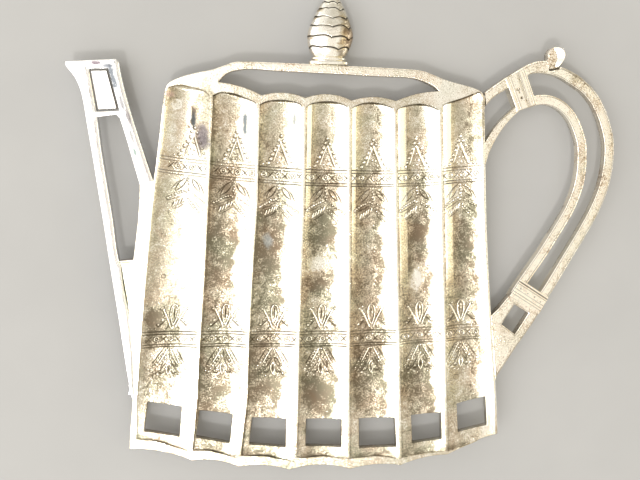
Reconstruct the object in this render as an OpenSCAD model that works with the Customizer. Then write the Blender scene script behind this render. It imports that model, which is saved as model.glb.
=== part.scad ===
// Silver-plated table stand in the outline of a fluted teapot.
// It lies flat on four short feet: +X points to the handle, +Y to the lid
// finial, +Z out of the engraved face. The origin is on the table, under the
// middle of the stand's bounding box. Outline points are measured from the
// body's centre line at the level of the face, in millimetres.

/* [Stand] */
// Height of the feet with their pads, table to underside of the plate
lift = 7.5; // [6:0.5:10]
// Thickness of the body plate
plate_t = 4; // [3.5:0.25:5]
// Thickness of the bars of the spout and handle
bar_t = 4; // [3.5:0.25:4]

/* [Flutes] */
// Depth of the hollow flutes in the face
flute_depth = 2.4; // [1.5:0.1:2.6]
// Width of the flat ridge between two flutes
ridge_w = 1.2; // [0.8:0.1:2]

/* [Handle] */
// Width of the outer loop
outer_w = 4.5; // [3.5:0.1:5]
// Width of the inner loop
inner_w = 4.3; // [3.5:0.1:5]
// How far the two bands stand proud of the loops, at the face
band_proud = 0.7; // [0.3:0.1:1.2]

/* [Finial] */
// Largest width of the pine-cone finial
cone_w = 18.6; // [16:0.2:20]
// Thickness of the finial as a share of its width
cone_flat = 0.6; // [0.45:0.05:0.65]
// Radius of the threaded stud that holds the finial
stud_r = 0.9; // [0.7:0.1:1.1]

/* [Feet] */
// Radius of a foot's shank
foot_r = 4; // [3:0.25:4.5]
// Thickness of the felt pad under each foot
pad_t = 0.8; // [0.5:0.1:1.2]
// Radius of the pegs in the soldered joints
peg_r = 0.8; // [0.6:0.1:0.9]

/* [Hidden] */
$fn = 64;
ox = -10.9;            // body centre line to box centre, along X
oy = 1.0;              // the same along Y
z0 = lift;             // underside of the plate
zt = lift + plate_t;   // face of the plate
zm = lift + bar_t / 2; // middle of the bars
silver = [0.80, 0.76, 0.68];
plated = [0.86, 0.83, 0.76];
steel = [0.55, 0.55, 0.56];
felt = [0.16, 0.30, 0.20];

// ---- curve functions ----
function cr(a, b, c, d, t) = 0.5 * (2 * b + (c - a) * t
  + (2 * a - 5 * b + 4 * c - d) * t * t + (3 * b - a - 3 * c + d) * t * t * t);
// smooth curve through hand-set points, n steps a span
function smooth(p, n = 4) = [for (i = [0 : len(p) - 2], k = [0 : n - 1])
  cr(p[max(i - 1, 0)], p[i], p[i + 1], p[min(i + 2, len(p) - 1)], k / n),
  p[len(p) - 1]];
function unit(v) = v / norm(v);
function tang(p, i) = unit(p[min(i + 1, len(p) - 1)] - p[max(i - 1, 0)]);
function side(p, i, s) = p[i] + s * [-tang(p, i)[1], tang(p, i)[0]];
// closed outline of a strap of width w that follows the line p
function ribbon(p, w) = [for (i = [0 : len(p) - 1]) side(p, i, w / 2),
  for (i = [len(p) - 1 : -1 : 0]) side(p, i, -w / 2)];
// shallow bow from a to b (b left out) that rises s to the left of a-b
function bow(a, b, s, n = 6) = [for (k = [0 : n - 1]) let (t = k / n)
  a + (b - a) * t + 4 * s * t * (1 - t) * unit([a[1] - b[1], b[0] - a[0]])];
function mix(a, b, t) = a + (b - a) * t;

// ---- outline points ----
shoulder_l = [[-48.5, 71.2], [-54, 70], [-60, 68.4], [-64.5, 66.6],
  [-67.3, 64.6], [-68.4, 61.5], [-69.4, 55], [-70.7, 44], [-72.2, 32],
  [-73.3, 24.5]];
side_l = [[-79, 23], [-79.2, 17], [-80, 7], [-81, -1], [-82, -9]];
seam_l = [[-88, -9.6], [-87, -12], [-85.7, -24], [-84.2, -33.5],
  [-82.8, -50], [-82.6, -66]];
heel_l = [[-83.3, -71.5], [-83.8, -78], [-84.5, -85], [-85, -93.7]];
edge_r = [[82.9, -90.5], [82, -79], [80.4, -65], [78.4, -50], [76.3, -31],
  [74.3, -13], [72.5, 5], [71.1, 23], [69.9, 40], [68.7, 56]];
shoulder_r = [[68.6, 62.5], [67, 65.2], [64.5, 66.6], [60, 67.8],
  [54.5, 69], [49.3, 70.4]];
base_cusps = [[-85, -93.7], [-57.5, -99.9], [-37, -103.4], [-14, -105.5],
  [13.8, -106], [37.4, -104.8], [59.5, -100.2], [82.9, -90.5]];
base_bow = [1.6, 1.6, 1.5, 2.3, 1.4, 1.2, 0.5];
rim_cusps = [[48, 65], [29.3, 60.4], [10, 60.1], [-9.8, 60.7],
  [-28.2, 61.2], [-46.3, 66.1]];
rim_bow = [-1, -1.6, -2.1, -1.6, -1];
lid_top = [[-48.5, 71.2], [-43.5, 73.1], [-40, 74.4], [-35, 74.8],
  [-22, 74.8], [-8, 74.7], [8, 74.4], [22, 74.2], [33, 73.9], [38, 73.7],
  [42, 73], [46, 71.6], [49.3, 70.4]];
lid_low = [[48, 65], [45.5, 67], [42, 68.6], [38, 69.8], [33, 70.4],
  [22, 70.5], [8, 70.8], [-8, 71.1], [-22, 71.4], [-33, 71.8], [-39, 71],
  [-43, 69.5], [-46.3, 66.1]];
// ridge centres along the top and the bottom of the face, left to right
ridge_top = [-68.9, -49.4, -29.9, -10.2, 9.1, 28.8, 48.8, 67.9];
ridge_bot = [-82.9, -58.1, -36.3, -11.7, 12.6, 36.8, 58.4, 82.1];
flute_top = [62.5, 60.6, 59.2, 59.1, 58.7, 58.6, 61.5];
flute_bot = [-91, -95.6, -98.6, -99, -99.8, -98.6, -93.5];
// openings in the foot of each flute: left, right, top and bottom corners
win = [[[-77.3, -72.6], [-62.2, -75], [-63.2, -88.9], [-78.9, -85.8]],
  [[-54.9, -76.7], [-39.9, -79], [-41.1, -92.4], [-56.2, -89.3]],
  [[-31.6, -80.6], [-16, -81.4], [-15.9, -94.9], [-32.6, -93.2]],
  [[-6.8, -81.7], [9.3, -82.1], [9.5, -95.4], [-6.8, -94.6]],
  [[17.3, -82], [33.8, -81.8], [35, -95.8], [17.9, -96.2]],
  [[41.6, -81], [55.5, -79.8], [56.3, -92.6], [42.6, -94.5]],
  [[62.9, -76], [76.3, -72.8], [77.6, -86.4], [64, -89.6]]];
bar_out = [[-107.9, 71.8], [-107.6, 70], [-104.6, 66.6], [-102.5, 62],
  [-101.2, 56.4], [-99.9, 47], [-98.4, 37], [-97, 27], [-94.2, 7],
  [-91.6, -13], [-88.6, -34.5], [-85.8, -56], [-84.3, -66], [-83.3, -71.5]];
spout_r = [[-73.3, 24.5], [-77.5, 37.5], [-81.9, 52], [-84.6, 62],
  [-86.2, 69.5], [-86.9, 72.4], [-88.2, 73.4]];
window = [[-95.8, 50.3], [-88, 51.6], [-86.6, 50], [-84.2, 42],
  [-81.5, 32], [-79, 23], [-79.2, 17], [-80, 7], [-81, -1], [-82, -9],
  [-88, -9.6], [-89.1, -3], [-90.1, 7], [-91.5, 17], [-93, 27],
  [-94.4, 37]];
inset = [[-98.1, 69.6], [-91.2, 70], [-87.3, 53.6], [-96, 53]];
top_c = [[68.7, 63.4], [75.5, 68.4], [82.3, 73], [88.8, 76.1], [95, 77.4],
  [99, 77.8]];
ball = [99.4, 81.8];
ball_r = 3.9;
outer_c = [[98.2, 75.1], [101.5, 75.1], [105.5, 73.9], [110.3, 71.3],
  [115, 67.6], [119.2, 62.9], [122.7, 57], [125.2, 51], [126.9, 45],
  [127.4, 38.5], [127.1, 32], [126.1, 25.5], [124.2, 19], [121.5, 12.5],
  [118.3, 6], [115.1, 0], [112, -5.5], [109, -11], [106, -16.5],
  [102.9, -22], [99.4, -27.6]];
inner_c = [[70.2, 40.4], [74.4, 47.8], [78.5, 53.4], [84, 58.6],
  [89.8, 61.8], [95.5, 62.8], [100.6, 61.8], [105.4, 59], [109.4, 54.6],
  [112.3, 49], [114.2, 43.5], [114.8, 37], [114.8, 31], [114, 25],
  [112.3, 19], [109.8, 13], [106.5, 7], [103.1, 1], [99.6, -5],
  [96.1, -10.5], [92.5, -16], [89, -21.4], [87.2, -24.4]];
up_band = [[76.6, 70.8], [85.7, 76], [91.4, 60.8], [82.3, 58.1]];
low_band = [[89.5, -17.2], [103.2, -25.7], [98.9, -33.6], [84.6, -24.9]];
socket = [[84.6, -24.9], [98.9, -33.6], [96.3, -38.2], [89, -49.4],
  [84, -57.6], [81, -62.6], [80.4, -65], [78.4, -50], [76.5, -33.2],
  [79.5, -31]];
socket_win = [[87.3, -29], [94.3, -33.1], [88.4, -43], [81.7, -38.3]];
foot_at = [[-50, 44], [49.4, 44], [-56.9, -66], [56.4, -66]];

function plate_pts() = concat(smooth(shoulder_l, 3), side_l, seam_l, heel_l,
  [for (i = [0 : 6]) each bow(base_cusps[i], base_cusps[i + 1], base_bow[i])],
  edge_r, smooth(shoulder_r, 3),
  [for (i = [0 : 4]) each bow(rim_cusps[i], rim_cusps[i + 1], rim_bow[i])],
  [[-46.3, 66.1]]);
function spout_pts() = concat(smooth(bar_out, 3),
  [[-82.6, -66], [-82.8, -50], [-84.2, -33.5], [-85.7, -24], [-87, -12],
   [-88, -9.6], [-89.1, -3], [-90.1, 7], [-91.5, 17], [-93, 27],
   [-94.4, 37], [-95.8, 50.3], [-88, 51.6], [-86.6, 50], [-84.2, 42],
   [-81.5, 32], [-79, 23]], spout_r);

// ---- helpers ----
module place() translate([ox, oy, 0]) children();
module slab(pts, a, b) translate([0, 0, a]) linear_extrude(b - a) polygon(pts);
// cone along the line from p to q, radii r and s
module spar(p, q, r, s) {
  d = q - p;
  translate(p) rotate([0, acos(d[2] / norm(d)), atan2(d[1], d[0])])
    cylinder(h = norm(d), r1 = r, r2 = s, $fn = 96);
}
// hollow of flute i, a cone whose chord at the face is the flute's width
function chord_r(w, d) = (w * w / 4 + d * d) / (2 * d);
module flute(i) {
  wt = ridge_top[i + 1] - ridge_top[i] - ridge_w;
  wb = ridge_bot[i + 1] - ridge_bot[i] - ridge_w;
  rt = chord_r(wt, flute_depth);
  rb = chord_r(wb, flute_depth);
  t = (flute_top[i] - 57) / (-98 - 57);
  b = (flute_bot[i] - 57) / (-98 - 57);
  ct = (ridge_top[i] + ridge_top[i + 1]) / 2;
  cb = (ridge_bot[i] + ridge_bot[i + 1]) / 2;
  spar([mix(ct, cb, t), flute_top[i], zt - flute_depth + mix(rt, rb, t)],
    [mix(ct, cb, b), flute_bot[i], zt - flute_depth + mix(rt, rb, b)],
    mix(rt, rb, t), mix(rt, rb, b));
}
module straps() {
  slab(ribbon(smooth(top_c, 4), outer_w), z0, z0 + bar_t);
  slab(ribbon(smooth(outer_c, 3), outer_w), z0, z0 + bar_t);
  slab(ribbon(smooth(inner_c, 3), inner_w), z0, z0 + bar_t);
}
// pegs of the soldered joints: start, end
pegs = [[[-83.4, -40], [-87, -40]], [[-86, -15], [-89.6, -15]],
  [[-76.2, 23.5], [-77.2, 27.4]],
  [[-46.6, 69.6], [-50.4, 68.5]], [[47.2, 68.8], [51, 67.8]],
  [[67.4, 62.2], [70.2, 64.6]], [[67.6, 37.2], [70.8, 41.2]],
  [[76.2, -40], [79.8, -40]], [[77.6, -53], [81.2, -53]]];
module peg_set() for (p = pegs)
  spar([p[0][0], p[0][1], zm], [p[1][0], p[1][1], zm], peg_r, peg_r);
module stud() translate([-0.2, 72.2, zm]) rotate([-90, 0, 0])
  cylinder(h = 11, r = stud_r, $fn = 32);

// ---- pieces ----
module body_plate() color(silver) place() difference() {
  slab(plate_pts(), z0, zt);
  for (i = [0 : 6]) flute(i);
  for (w = win) slab(w, z0 - 1, zt + 1);
  peg_set();
  for (f = foot_at) translate([f[0], f[1], z0 - 1]) cylinder(h = 3.2, r = 1.5, $fn = 32);
}
module lid_arch() color(plated) place() difference() {
  slab(concat(smooth(lid_top, 3), smooth(lid_low, 3)), z0, zt);
  peg_set();
  stud();
}
module finial() color(plated) place() difference() {
  intersection() {
    translate([-0.2, 78.8, zm]) rotate([-90, 0, 0])
      rotate_extrude($fn = 64) polygon(concat([[0, 0]],
        smooth([[5.2, 0], [7.6, 2.2], [9, 5.2], [9.3, 8], [8.8, 11],
          [7.4, 15], [5.4, 19], [3.4, 22.2], [1.6, 24.6], [0.5, 25.2]], 2)
          * cone_w / 18.6, [[0, 25.2 * cone_w / 18.6]]));
    translate([-20, 78, zm - cone_w * cone_flat / 2])
      cube([40, 40, cone_w * cone_flat]);
  }
  stud();
}
module finial_collar() color(plated) place() difference() {
  union() {
    translate([-8.6, 74.75, zm - 3.6]) cube([16.8, 1.55, 7.2]);
    translate([-0.2, 76.3, zm]) rotate([-90, 0, 0]) intersection() {
      cylinder(h = 2.5, r1 = 5.6, r2 = 7.2, $fn = 64);
      translate([-9, -3.9, 0]) cube([18, 7.8, 3]);
    }
  }
  stud();
}
module finial_stud() color(steel) place() stud();
module spout_frame() color(plated) place() difference() {
  slab(spout_pts(), z0, z0 + bar_t);
  slab(inset, zt - 1.2, zt + 1);
  peg_set();
}
module spout_panel() color(silver) place()
  slab([inset[0] + [0.4, -0.4], inset[1] + [-0.5, -0.4],
    inset[2] + [-0.6, 0.4], inset[3] + [0.35, 0.4]], z0 + bar_t - 1.2, z0 + bar_t);
module handle_top_strap() color(plated) place() difference() {
  union() {
    slab(ribbon(smooth(top_c, 4), outer_w), z0, z0 + bar_t);
    translate([ball[0], ball[1], z0]) cylinder(h = bar_t, r = ball_r, $fn = 64);
    translate([ball[0], ball[1], z0 + bar_t]) intersection() {
      translate([0, 0, -3]) sphere(r = 4.92, $fn = 64);
      cylinder(h = 3, r = ball_r, $fn = 64);
    }
    slab([[95.4, 79.4], [103, 79.6], [100.9, 77.2], [97, 76]], z0, z0 + bar_t);
  }
  slab(ribbon(smooth(outer_c, 3), outer_w), z0 - 1, z0 + bar_t + 3);
  slab(plate_pts(), z0 - 1, zt + 1);
  peg_set();
}
module handle_outer_loop() color(plated) place()
  slab(ribbon(smooth(outer_c, 3), outer_w), z0, z0 + bar_t);
module handle_inner_loop() color(plated) place() difference() {
  slab(ribbon(smooth(inner_c, 3), inner_w), z0, z0 + bar_t);
  slab(plate_pts(), z0 - 1, zt + 1);
  peg_set();
}
module band(q) difference() {
  slab(q, z0 - 0.3, z0 + bar_t + band_proud);
  straps();
  slab(socket, z0, z0 + bar_t);
}
module handle_upper_band() color(silver) place() band(up_band);
module handle_lower_band() color(silver) place() band(low_band);
module handle_socket() color(plated) place() difference() {
  slab(socket, z0, z0 + bar_t);
  slab(socket_win, z0 - 1, z0 + bar_t + 1);
  slab(plate_pts(), z0 - 1, zt + 1);
  straps();
  peg_set();
}
module foot(i) color(silver) place() translate([foot_at[i][0], foot_at[i][1], pad_t])
  rotate_extrude($fn = 48) polygon([[0, 0], [foot_r - 1, 0], [foot_r - 0.3, 0.3],
    [foot_r, 1], [foot_r - 0.3, 1.8], [foot_r - 1.2, 2.4],
    [foot_r - 1.4, lift - pad_t - 2.2], [foot_r - 0.4, lift - pad_t - 1.2],
    [foot_r + 0.8, lift - pad_t - 0.8], [foot_r + 0.8, lift - pad_t],
    [1.5, lift - pad_t], [1.5, lift - pad_t + 2.2], [0, lift - pad_t + 2.2]]);
module foot_spout_top() foot(0);
module foot_handle_top() foot(1);
module foot_spout_base() foot(2);
module foot_handle_base() foot(3);
module foot_pads() color(felt) place() for (f = foot_at)
  translate([f[0], f[1], 0]) cylinder(h = pad_t, r = foot_r - 1, $fn = 48);
module joint_pegs() color(steel) place() peg_set();

body_plate();
lid_arch();
finial();
finial_collar();
finial_stud();
spout_frame();
spout_panel();
handle_top_strap();
handle_outer_loop();
handle_inner_loop();
handle_upper_band();
handle_lower_band();
handle_socket();
foot_spout_top();
foot_handle_top();
foot_spout_base();
foot_handle_base();
foot_pads();
joint_pegs();
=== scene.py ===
import math

import bpy
import numpy as np
from mathutils import Matrix, Vector
from mathutils.geometry import tessellate_polygon


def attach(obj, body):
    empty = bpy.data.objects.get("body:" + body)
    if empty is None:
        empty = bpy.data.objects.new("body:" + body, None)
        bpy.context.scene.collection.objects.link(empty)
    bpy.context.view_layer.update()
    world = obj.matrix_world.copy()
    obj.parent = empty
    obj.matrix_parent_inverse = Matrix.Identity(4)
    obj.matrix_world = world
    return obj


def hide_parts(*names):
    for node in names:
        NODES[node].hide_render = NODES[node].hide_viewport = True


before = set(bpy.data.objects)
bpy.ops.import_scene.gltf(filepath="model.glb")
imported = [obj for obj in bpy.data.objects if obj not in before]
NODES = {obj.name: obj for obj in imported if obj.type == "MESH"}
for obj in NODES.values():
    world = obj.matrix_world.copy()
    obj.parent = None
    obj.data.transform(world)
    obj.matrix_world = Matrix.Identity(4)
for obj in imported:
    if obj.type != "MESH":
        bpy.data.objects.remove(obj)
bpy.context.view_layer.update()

# Outline points below are in millimetres from the body's centre line, as in
# the CAD source; OX and OY move them into the shared frame.
OX, OY = -10.9, 1.0
Z0, ZT, ZM = 7.5, 11.5, 9.5
DEPTH = 2.4


def place(p):
    p = np.asarray(p, float)
    return np.column_stack([(p[:, 0] + OX), (p[:, 1] + OY), p[:, 2]]) / 1000.0


# ------------------------------------------------------------------ camera
F_PX = 700.0
cam_data = bpy.data.cameras.new("photo_camera")
cam_data.sensor_width = 36.0
cam_data.lens = F_PX / 640.0 * 36.0
cam_data.clip_start = 0.01
cam_data.clip_end = 20.0
camera = bpy.data.objects.new("photo_camera", cam_data)
right = Vector((0.99418647, 0.02117243, 0.10556987)).normalized()
back = Vector((-0.10745661, 0.133112, 0.98525848)).normalized()
up = back.cross(right).normalized()
right = up.cross(back).normalized()
camera.matrix_world = Matrix((
    (right.x, up.x, back.x, -0.045993),
    (right.y, up.y, back.y, 0.041577),
    (right.z, up.z, back.z, 0.311957),
    (0, 0, 0, 1)))
bpy.context.scene.collection.objects.link(camera)
bpy.context.scene.camera = camera
bpy.context.scene.view_settings.view_transform = "Standard"


# --------------------------------------------------------------- materials
def new_mat(name):
    m = bpy.data.materials.new(name)
    m.use_nodes = True
    nt = m.node_tree
    nt.nodes.clear()
    out = nt.nodes.new("ShaderNodeOutputMaterial")
    bsdf = nt.nodes.new("ShaderNodeBsdfPrincipled")
    nt.links.new(bsdf.outputs[0], out.inputs[0])
    return m, nt, bsdf


def node(nt, kind, **kw):
    n = nt.nodes.new(kind)
    for k, v in kw.items():
        setattr(n, k, v)
    return n


def noise(nt, co, scale, detail=4.0, rough=0.55, distort=0.0):
    n = node(nt, "ShaderNodeTexNoise")
    n.inputs["Scale"].default_value = scale
    n.inputs["Detail"].default_value = detail
    n.inputs["Roughness"].default_value = rough
    n.inputs["Distortion"].default_value = distort
    nt.links.new(co, n.inputs["Vector"])
    return n.outputs["Fac"]


def ramp(nt, fac, stops, interp="LINEAR"):
    r = node(nt, "ShaderNodeValToRGB")
    r.color_ramp.interpolation = interp
    els = r.color_ramp.elements
    while len(els) > 1:
        els.remove(els[-1])
    els[0].position = stops[0][0]
    c = stops[0][1]
    els[0].color = (c, c, c, 1) if isinstance(c, (int, float)) else (*c, 1)
    for pos, c in stops[1:]:
        e = els.new(pos)
        e.color = (c, c, c, 1) if isinstance(c, (int, float)) else (*c, 1)
    nt.links.new(fac, r.inputs[0])
    return r.outputs[0]


def math_(nt, op, a, b=None, c=None, clamp=False):
    m = node(nt, "ShaderNodeMath", operation=op, use_clamp=clamp)
    for i, v in enumerate((a, b, c)):
        if v is None:
            continue
        if isinstance(v, (int, float)):
            m.inputs[i].default_value = v
        else:
            nt.links.new(v, m.inputs[i])
    return m.outputs[0]


def mix_col(nt, fac, a, b, mode="MIX"):
    m = node(nt, "ShaderNodeMix", data_type="RGBA", blend_type=mode)
    m.clamp_factor = True
    for sock, v in ((0, fac), (6, a), (7, b)):
        if isinstance(v, (int, float)):
            m.inputs[sock].default_value = v
        elif isinstance(v, (tuple, list)):
            m.inputs[sock].default_value = (*v, 1.0)
        else:
            nt.links.new(v, m.inputs[sock])
    return m.outputs[2]


def silver(name, stops, base=0.1, spread=1.0, rough=(0.14, 0.24, 0.38),
           bump=0.2, dark=(0.10, 0.07, 0.04), scratch=0.5, rings=(), stains_and_reflections=(),
           grain=2.2, pits=1.0, floor_=0.14, attrs=True):
    """Silver plate. stops holds the metal's colour when clean, dulled and dark; the tarnish level comes from a vertex
    attribute and from noise. That attribute also carries painted reflections and painted highlights. The darkening
    attribute carries tarnish in grooves together with dirt, painted shade and painted shadow. The stains list also
    holds painted reflections."""
    m, nt, b = new_mat(name)
    tc = node(nt, "ShaderNodeTexCoord")
    co = tc.outputs["Object"]
    big = noise(nt, co, 60.0, 4.0, 0.6, 0.7)
    mid = noise(nt, co, 290.0, 6.0, 0.68, 0.4)
    fine = noise(nt, co, 1500.0, 3.0, 0.65)
    blot = math_(nt, "MULTIPLY_ADD", math_(nt, "SUBTRACT", big, 0.5), 1.5,
                 math_(nt, "MULTIPLY", math_(nt, "SUBTRACT", mid, 0.5), 1.7))
    blot = math_(nt, "MULTIPLY_ADD", math_(nt, "SUBTRACT", fine, 0.5), grain, blot)
    if attrs:
        at = node(nt, "ShaderNodeAttribute", attribute_name="tarn_and_painted_light")
        amt = math_(nt, "MULTIPLY_ADD", at.outputs["Fac"], 1.15, floor_, clamp=True)
        level = math_(nt, "MULTIPLY", blot, math_(nt, "MULTIPLY", amt, spread))
        level = math_(nt, "ADD", level, math_(nt, "ADD", at.outputs["Fac"], base))
    else:
        level = math_(nt, "MULTIPLY_ADD", blot, spread * 0.5, base)
    specks = ramp(nt, noise(nt, co, 2300.0, 1.0, 0.5), [(0.60, 0.0), (0.70, 1.0)])
    level = math_(nt, "MULTIPLY_ADD", specks, 0.30 * spread, level)
    for cx, cy, rad, wid, amp in rings:
        d = node(nt, "ShaderNodeVectorMath", operation="DISTANCE")
        mp = node(nt, "ShaderNodeMapping")
        mp.inputs["Scale"].default_value = (1.0, 1.0, 0.0)
        nt.links.new(co, mp.inputs["Vector"])
        nt.links.new(mp.outputs[0], d.inputs[0])
        d.inputs[1].default_value = ((cx + OX) / 1000, (cy + OY) / 1000, 0.0)
        dist = math_(nt, "MULTIPLY_ADD", mid, 0.0006, d.outputs["Value"])
        ring = ramp(nt, math_(nt, "MULTIPLY", dist, 100.0),
                    [(0.0, 0.25), ((rad - wid + .3) / 10, 0.25),
                     ((rad + .3) / 10, 1.0), ((rad + wid + .3) / 10, 0.0)])
        level = math_(nt, "MULTIPLY_ADD", ring, amp, level)
    level = math_(nt, "ADD", level, 0.0, clamp=True)
    col = ramp(nt, level, [(0.0, stops[0]), (0.4, stops[1]), (0.72, stops[2]), (1.0, stops[3])])
    # faint drifts of colour in the tarnish
    hue = noise(nt, co, 75.0, 2.0, 0.5, 0.4)
    warm = ramp(nt, hue, [(0.50, 0.0), (0.66, 1.0)])
    cool = ramp(nt, hue, [(0.36, 1.0), (0.50, 0.0)])
    amt2 = math_(nt, "MULTIPLY_ADD", level, 0.8, 0.12, clamp=True)
    col = mix_col(nt, math_(nt, "MULTIPLY", warm, amt2), col, (1.0, 0.89, 0.85), "MULTIPLY")
    col = mix_col(nt, math_(nt, "MULTIPLY", cool, amt2), col, (0.88, 0.965, 0.935), "MULTIPLY")
    if attrs:
        # darkening towards dark: tarnish in the engraved grooves, plus dirt, painted shade and painted shadow along
        # edges, creases and crevices
        cv = node(nt, "ShaderNodeAttribute", attribute_name="cav_dirt_and_shade")
        groove_dirt_and_shade = math_(nt, "MULTIPLY", cv.outputs["Fac"],
                       math_(nt, "MULTIPLY_ADD", mid, 1.3, 0.45), clamp=True)
        col = mix_col(nt, groove_dirt_and_shade, col, dark)
    # stains, and dark patches that are painted reflections, mixed in over set ellipses
    for cx, cy, rx, ry, ang, amp, tint in stains_and_reflections:
        mp = node(nt, "ShaderNodeMapping", vector_type="TEXTURE")
        mp.inputs["Location"].default_value = ((cx + OX) / 1000, (cy + OY) / 1000, 0.0)
        mp.inputs["Rotation"].default_value = (0.0, 0.0, math.radians(ang))
        mp.inputs["Scale"].default_value = (rx / 1000, ry / 1000, 1.0)
        nt.links.new(co, mp.inputs["Vector"])
        ln = node(nt, "ShaderNodeVectorMath", operation="LENGTH")
        nt.links.new(mp.outputs[0], ln.inputs[0])
        d = math_(nt, "MULTIPLY_ADD", mid, 1.5, math_(nt, "SUBTRACT", ln.outputs["Value"], 0.75))
        d = math_(nt, "MULTIPLY_ADD", fine, 0.7, math_(nt, "SUBTRACT", d, 0.35))
        fac = ramp(nt, d, [(0.45, amp), (1.15, 0.0)])
        col = mix_col(nt, fac, col, tint)
    nt.links.new(col, b.inputs["Base Color"])
    b.inputs["Metallic"].default_value = 1.0
    r = ramp(nt, level, [(0.0, rough[0]), (0.5, rough[1]), (1.0, rough[2])])
    nt.links.new(r, b.inputs["Roughness"])
    # surface: slow unevenness, fine pitting and long scratches
    mp = node(nt, "ShaderNodeMapping")
    mp.inputs["Rotation"].default_value = (0.0, 0.0, 0.35)
    mp.inputs["Scale"].default_value = (1.0, 0.05, 1.0)
    nt.links.new(co, mp.inputs["Vector"])
    scr = ramp(nt, noise(nt, mp.outputs[0], 2600.0, 2.0, 0.5),
               [(0.60, 0.0), (0.72, 1.0)])
    h = math_(nt, "MULTIPLY_ADD", big, 1.6, math_(nt, "MULTIPLY", mid, 0.9))
    rough_part = math_(nt, "MULTIPLY_ADD", level, 1.5, 0.25)
    h = math_(nt, "MULTIPLY_ADD", math_(nt, "MULTIPLY", fine, rough_part), pits, h)
    h = math_(nt, "MULTIPLY_ADD", scr, -0.16 * scratch, h)
    bp = node(nt, "ShaderNodeBump")
    bp.inputs["Strength"].default_value = bump
    bp.inputs["Distance"].default_value = 0.00025
    nt.links.new(h, bp.inputs["Height"])
    nt.links.new(bp.outputs[0], b.inputs["Normal"])
    return m


MAT = {}
RINGS = ((-63.6, 56.7, 1.9, .6, -.5), (-48.0, -0.3, .95, .4, -.5), (-69.6, -16.5, .85, .4, .7),
         (-28.3, -9.4, .8, .4, -.45), (62.1, -63.1, 1.1, .4, .5), (73.6, -63.8, 1.5, .45, .5))
# the first five entries, dark blue-grey streaks and patches on flutes 1 to 3, are painted reflections; the last two are
# dark lines along the spout's seam
BODY_STAINS_AND_REFLECTIONS = ((-56.8, 51.0, 1.8, 5.6, -3.0, 0.96, (0.06, 0.065, 0.066)),
               (-52.6, 43.6, 3.4, 8.4, 4.0, 0.88, (0.14, 0.12, 0.125)),
               (-35.1, 49.2, 1.3, 7.4, -2.0, 0.95, (0.10, 0.115, 0.12)),
               (-14.2, 51.6, 0.8, 4.6, -3.0, 0.85, (0.15, 0.16, 0.15)),
               (-25.0, -0.8, 2.7, 4.2, 8.0, 0.62, (0.33, 0.36, 0.36)),
               (-66.2, 60.6, 2.2, 1.6, 0.0, 0.50, (0.62, 0.44, 0.42)),
               (-85.5, -22.8, 0.50, 13.5, 8.6, 1.0, (0.045, 0.042, 0.02)),
               (-84.6, -10.2, 3.6, 0.30, 0.0, 0.9, (0.09, 0.075, 0.045)))
MAT["body"] = silver("silver_body_plate",
                     ((0.94, 0.91, 0.82), (0.60, 0.53, 0.405), (0.37, 0.322, 0.235),
                      (0.18, 0.15, 0.105)),
                     base=0.05, spread=1.22, bump=0.24, dark=(0.05, 0.036, 0.02), rings=RINGS, stains_and_reflections=BODY_STAINS_AND_REFLECTIONS)
MAT["bars"] = silver("silver_bars",
                     ((0.95, 0.89, 0.77), (0.72, 0.62, 0.49), (0.48, 0.39, 0.29),
                      (0.26, 0.20, 0.14)),
                     base=0.02, spread=1.75, rough=(0.17, 0.27, 0.38), bump=0.26, grain=3.2,
                     floor_=0.55)
MAT["spout"] = silver("silver_spout",
                      ((0.95, 0.94, 0.92), (0.72, 0.70, 0.70), (0.48, 0.45, 0.44),
                       (0.28, 0.25, 0.23)),
                      base=0.02, spread=1.1, rough=(0.16, 0.26, 0.36), bump=0.18,
                      # the dark blue-grey streaks and spots on the spout are painted reflections; the last two are dark
                      # lines along its seam
                      stains_and_reflections=((-89.2, 67.0, 1.9, 7.0, 14.0, 0.95, (0.115, 0.125, 0.14)),
                              (-91.0, 71.2, 2.6, 1.3, 0.0, 0.85, (0.14, 0.15, 0.17)),
                              (-85.8, 56.5, 1.1, 6.5, 15.0, 0.85, (0.15, 0.14, 0.14)),
                              (-83.2, 50.5, 0.9, 5.0, 16.0, 0.80, (0.17, 0.15, 0.15)),
                              (-82.0, 43.0, 0.9, 5.0, 17.0, 0.80, (0.16, 0.15, 0.14)),
                              (-95.5, 72.3, 3.0, 0.9, 0.0, 0.90, (0.12, 0.08, 0.10)),
                              (-100.5, 70.0, 1.8, 1.5, 0.0, 0.50, (0.20, 0.22, 0.19)),
                              (-80.8, 36.5, 0.8, 2.6, 16.0, 0.85, (0.10, 0.15, 0.12)),
                              (-85.5, -22.8, 0.50, 13.5, 8.6, 1.0, (0.045, 0.042, 0.02)),
                              (-84.6, -10.2, 3.6, 0.30, 0.0, 0.9, (0.09, 0.075, 0.045))))
MAT["finial"] = silver("silver_finial",
                       ((0.95, 0.91, 0.82), (0.66, 0.57, 0.43), (0.42, 0.34, 0.24),
                        (0.20, 0.15, 0.10)),
                       base=0.03, spread=1.1, rough=(0.13, 0.22, 0.34), bump=0.18,
                       dark=(0.035, 0.026, 0.014))
MAT["feet"] = silver("silver_feet",
                     ((0.86, 0.81, 0.72), (0.60, 0.53, 0.43), (0.42, 0.36, 0.28),
                      (0.26, 0.21, 0.15)),
                     base=0.3, spread=0.9, rough=(0.24, 0.34, 0.45), attrs=False)


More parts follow.
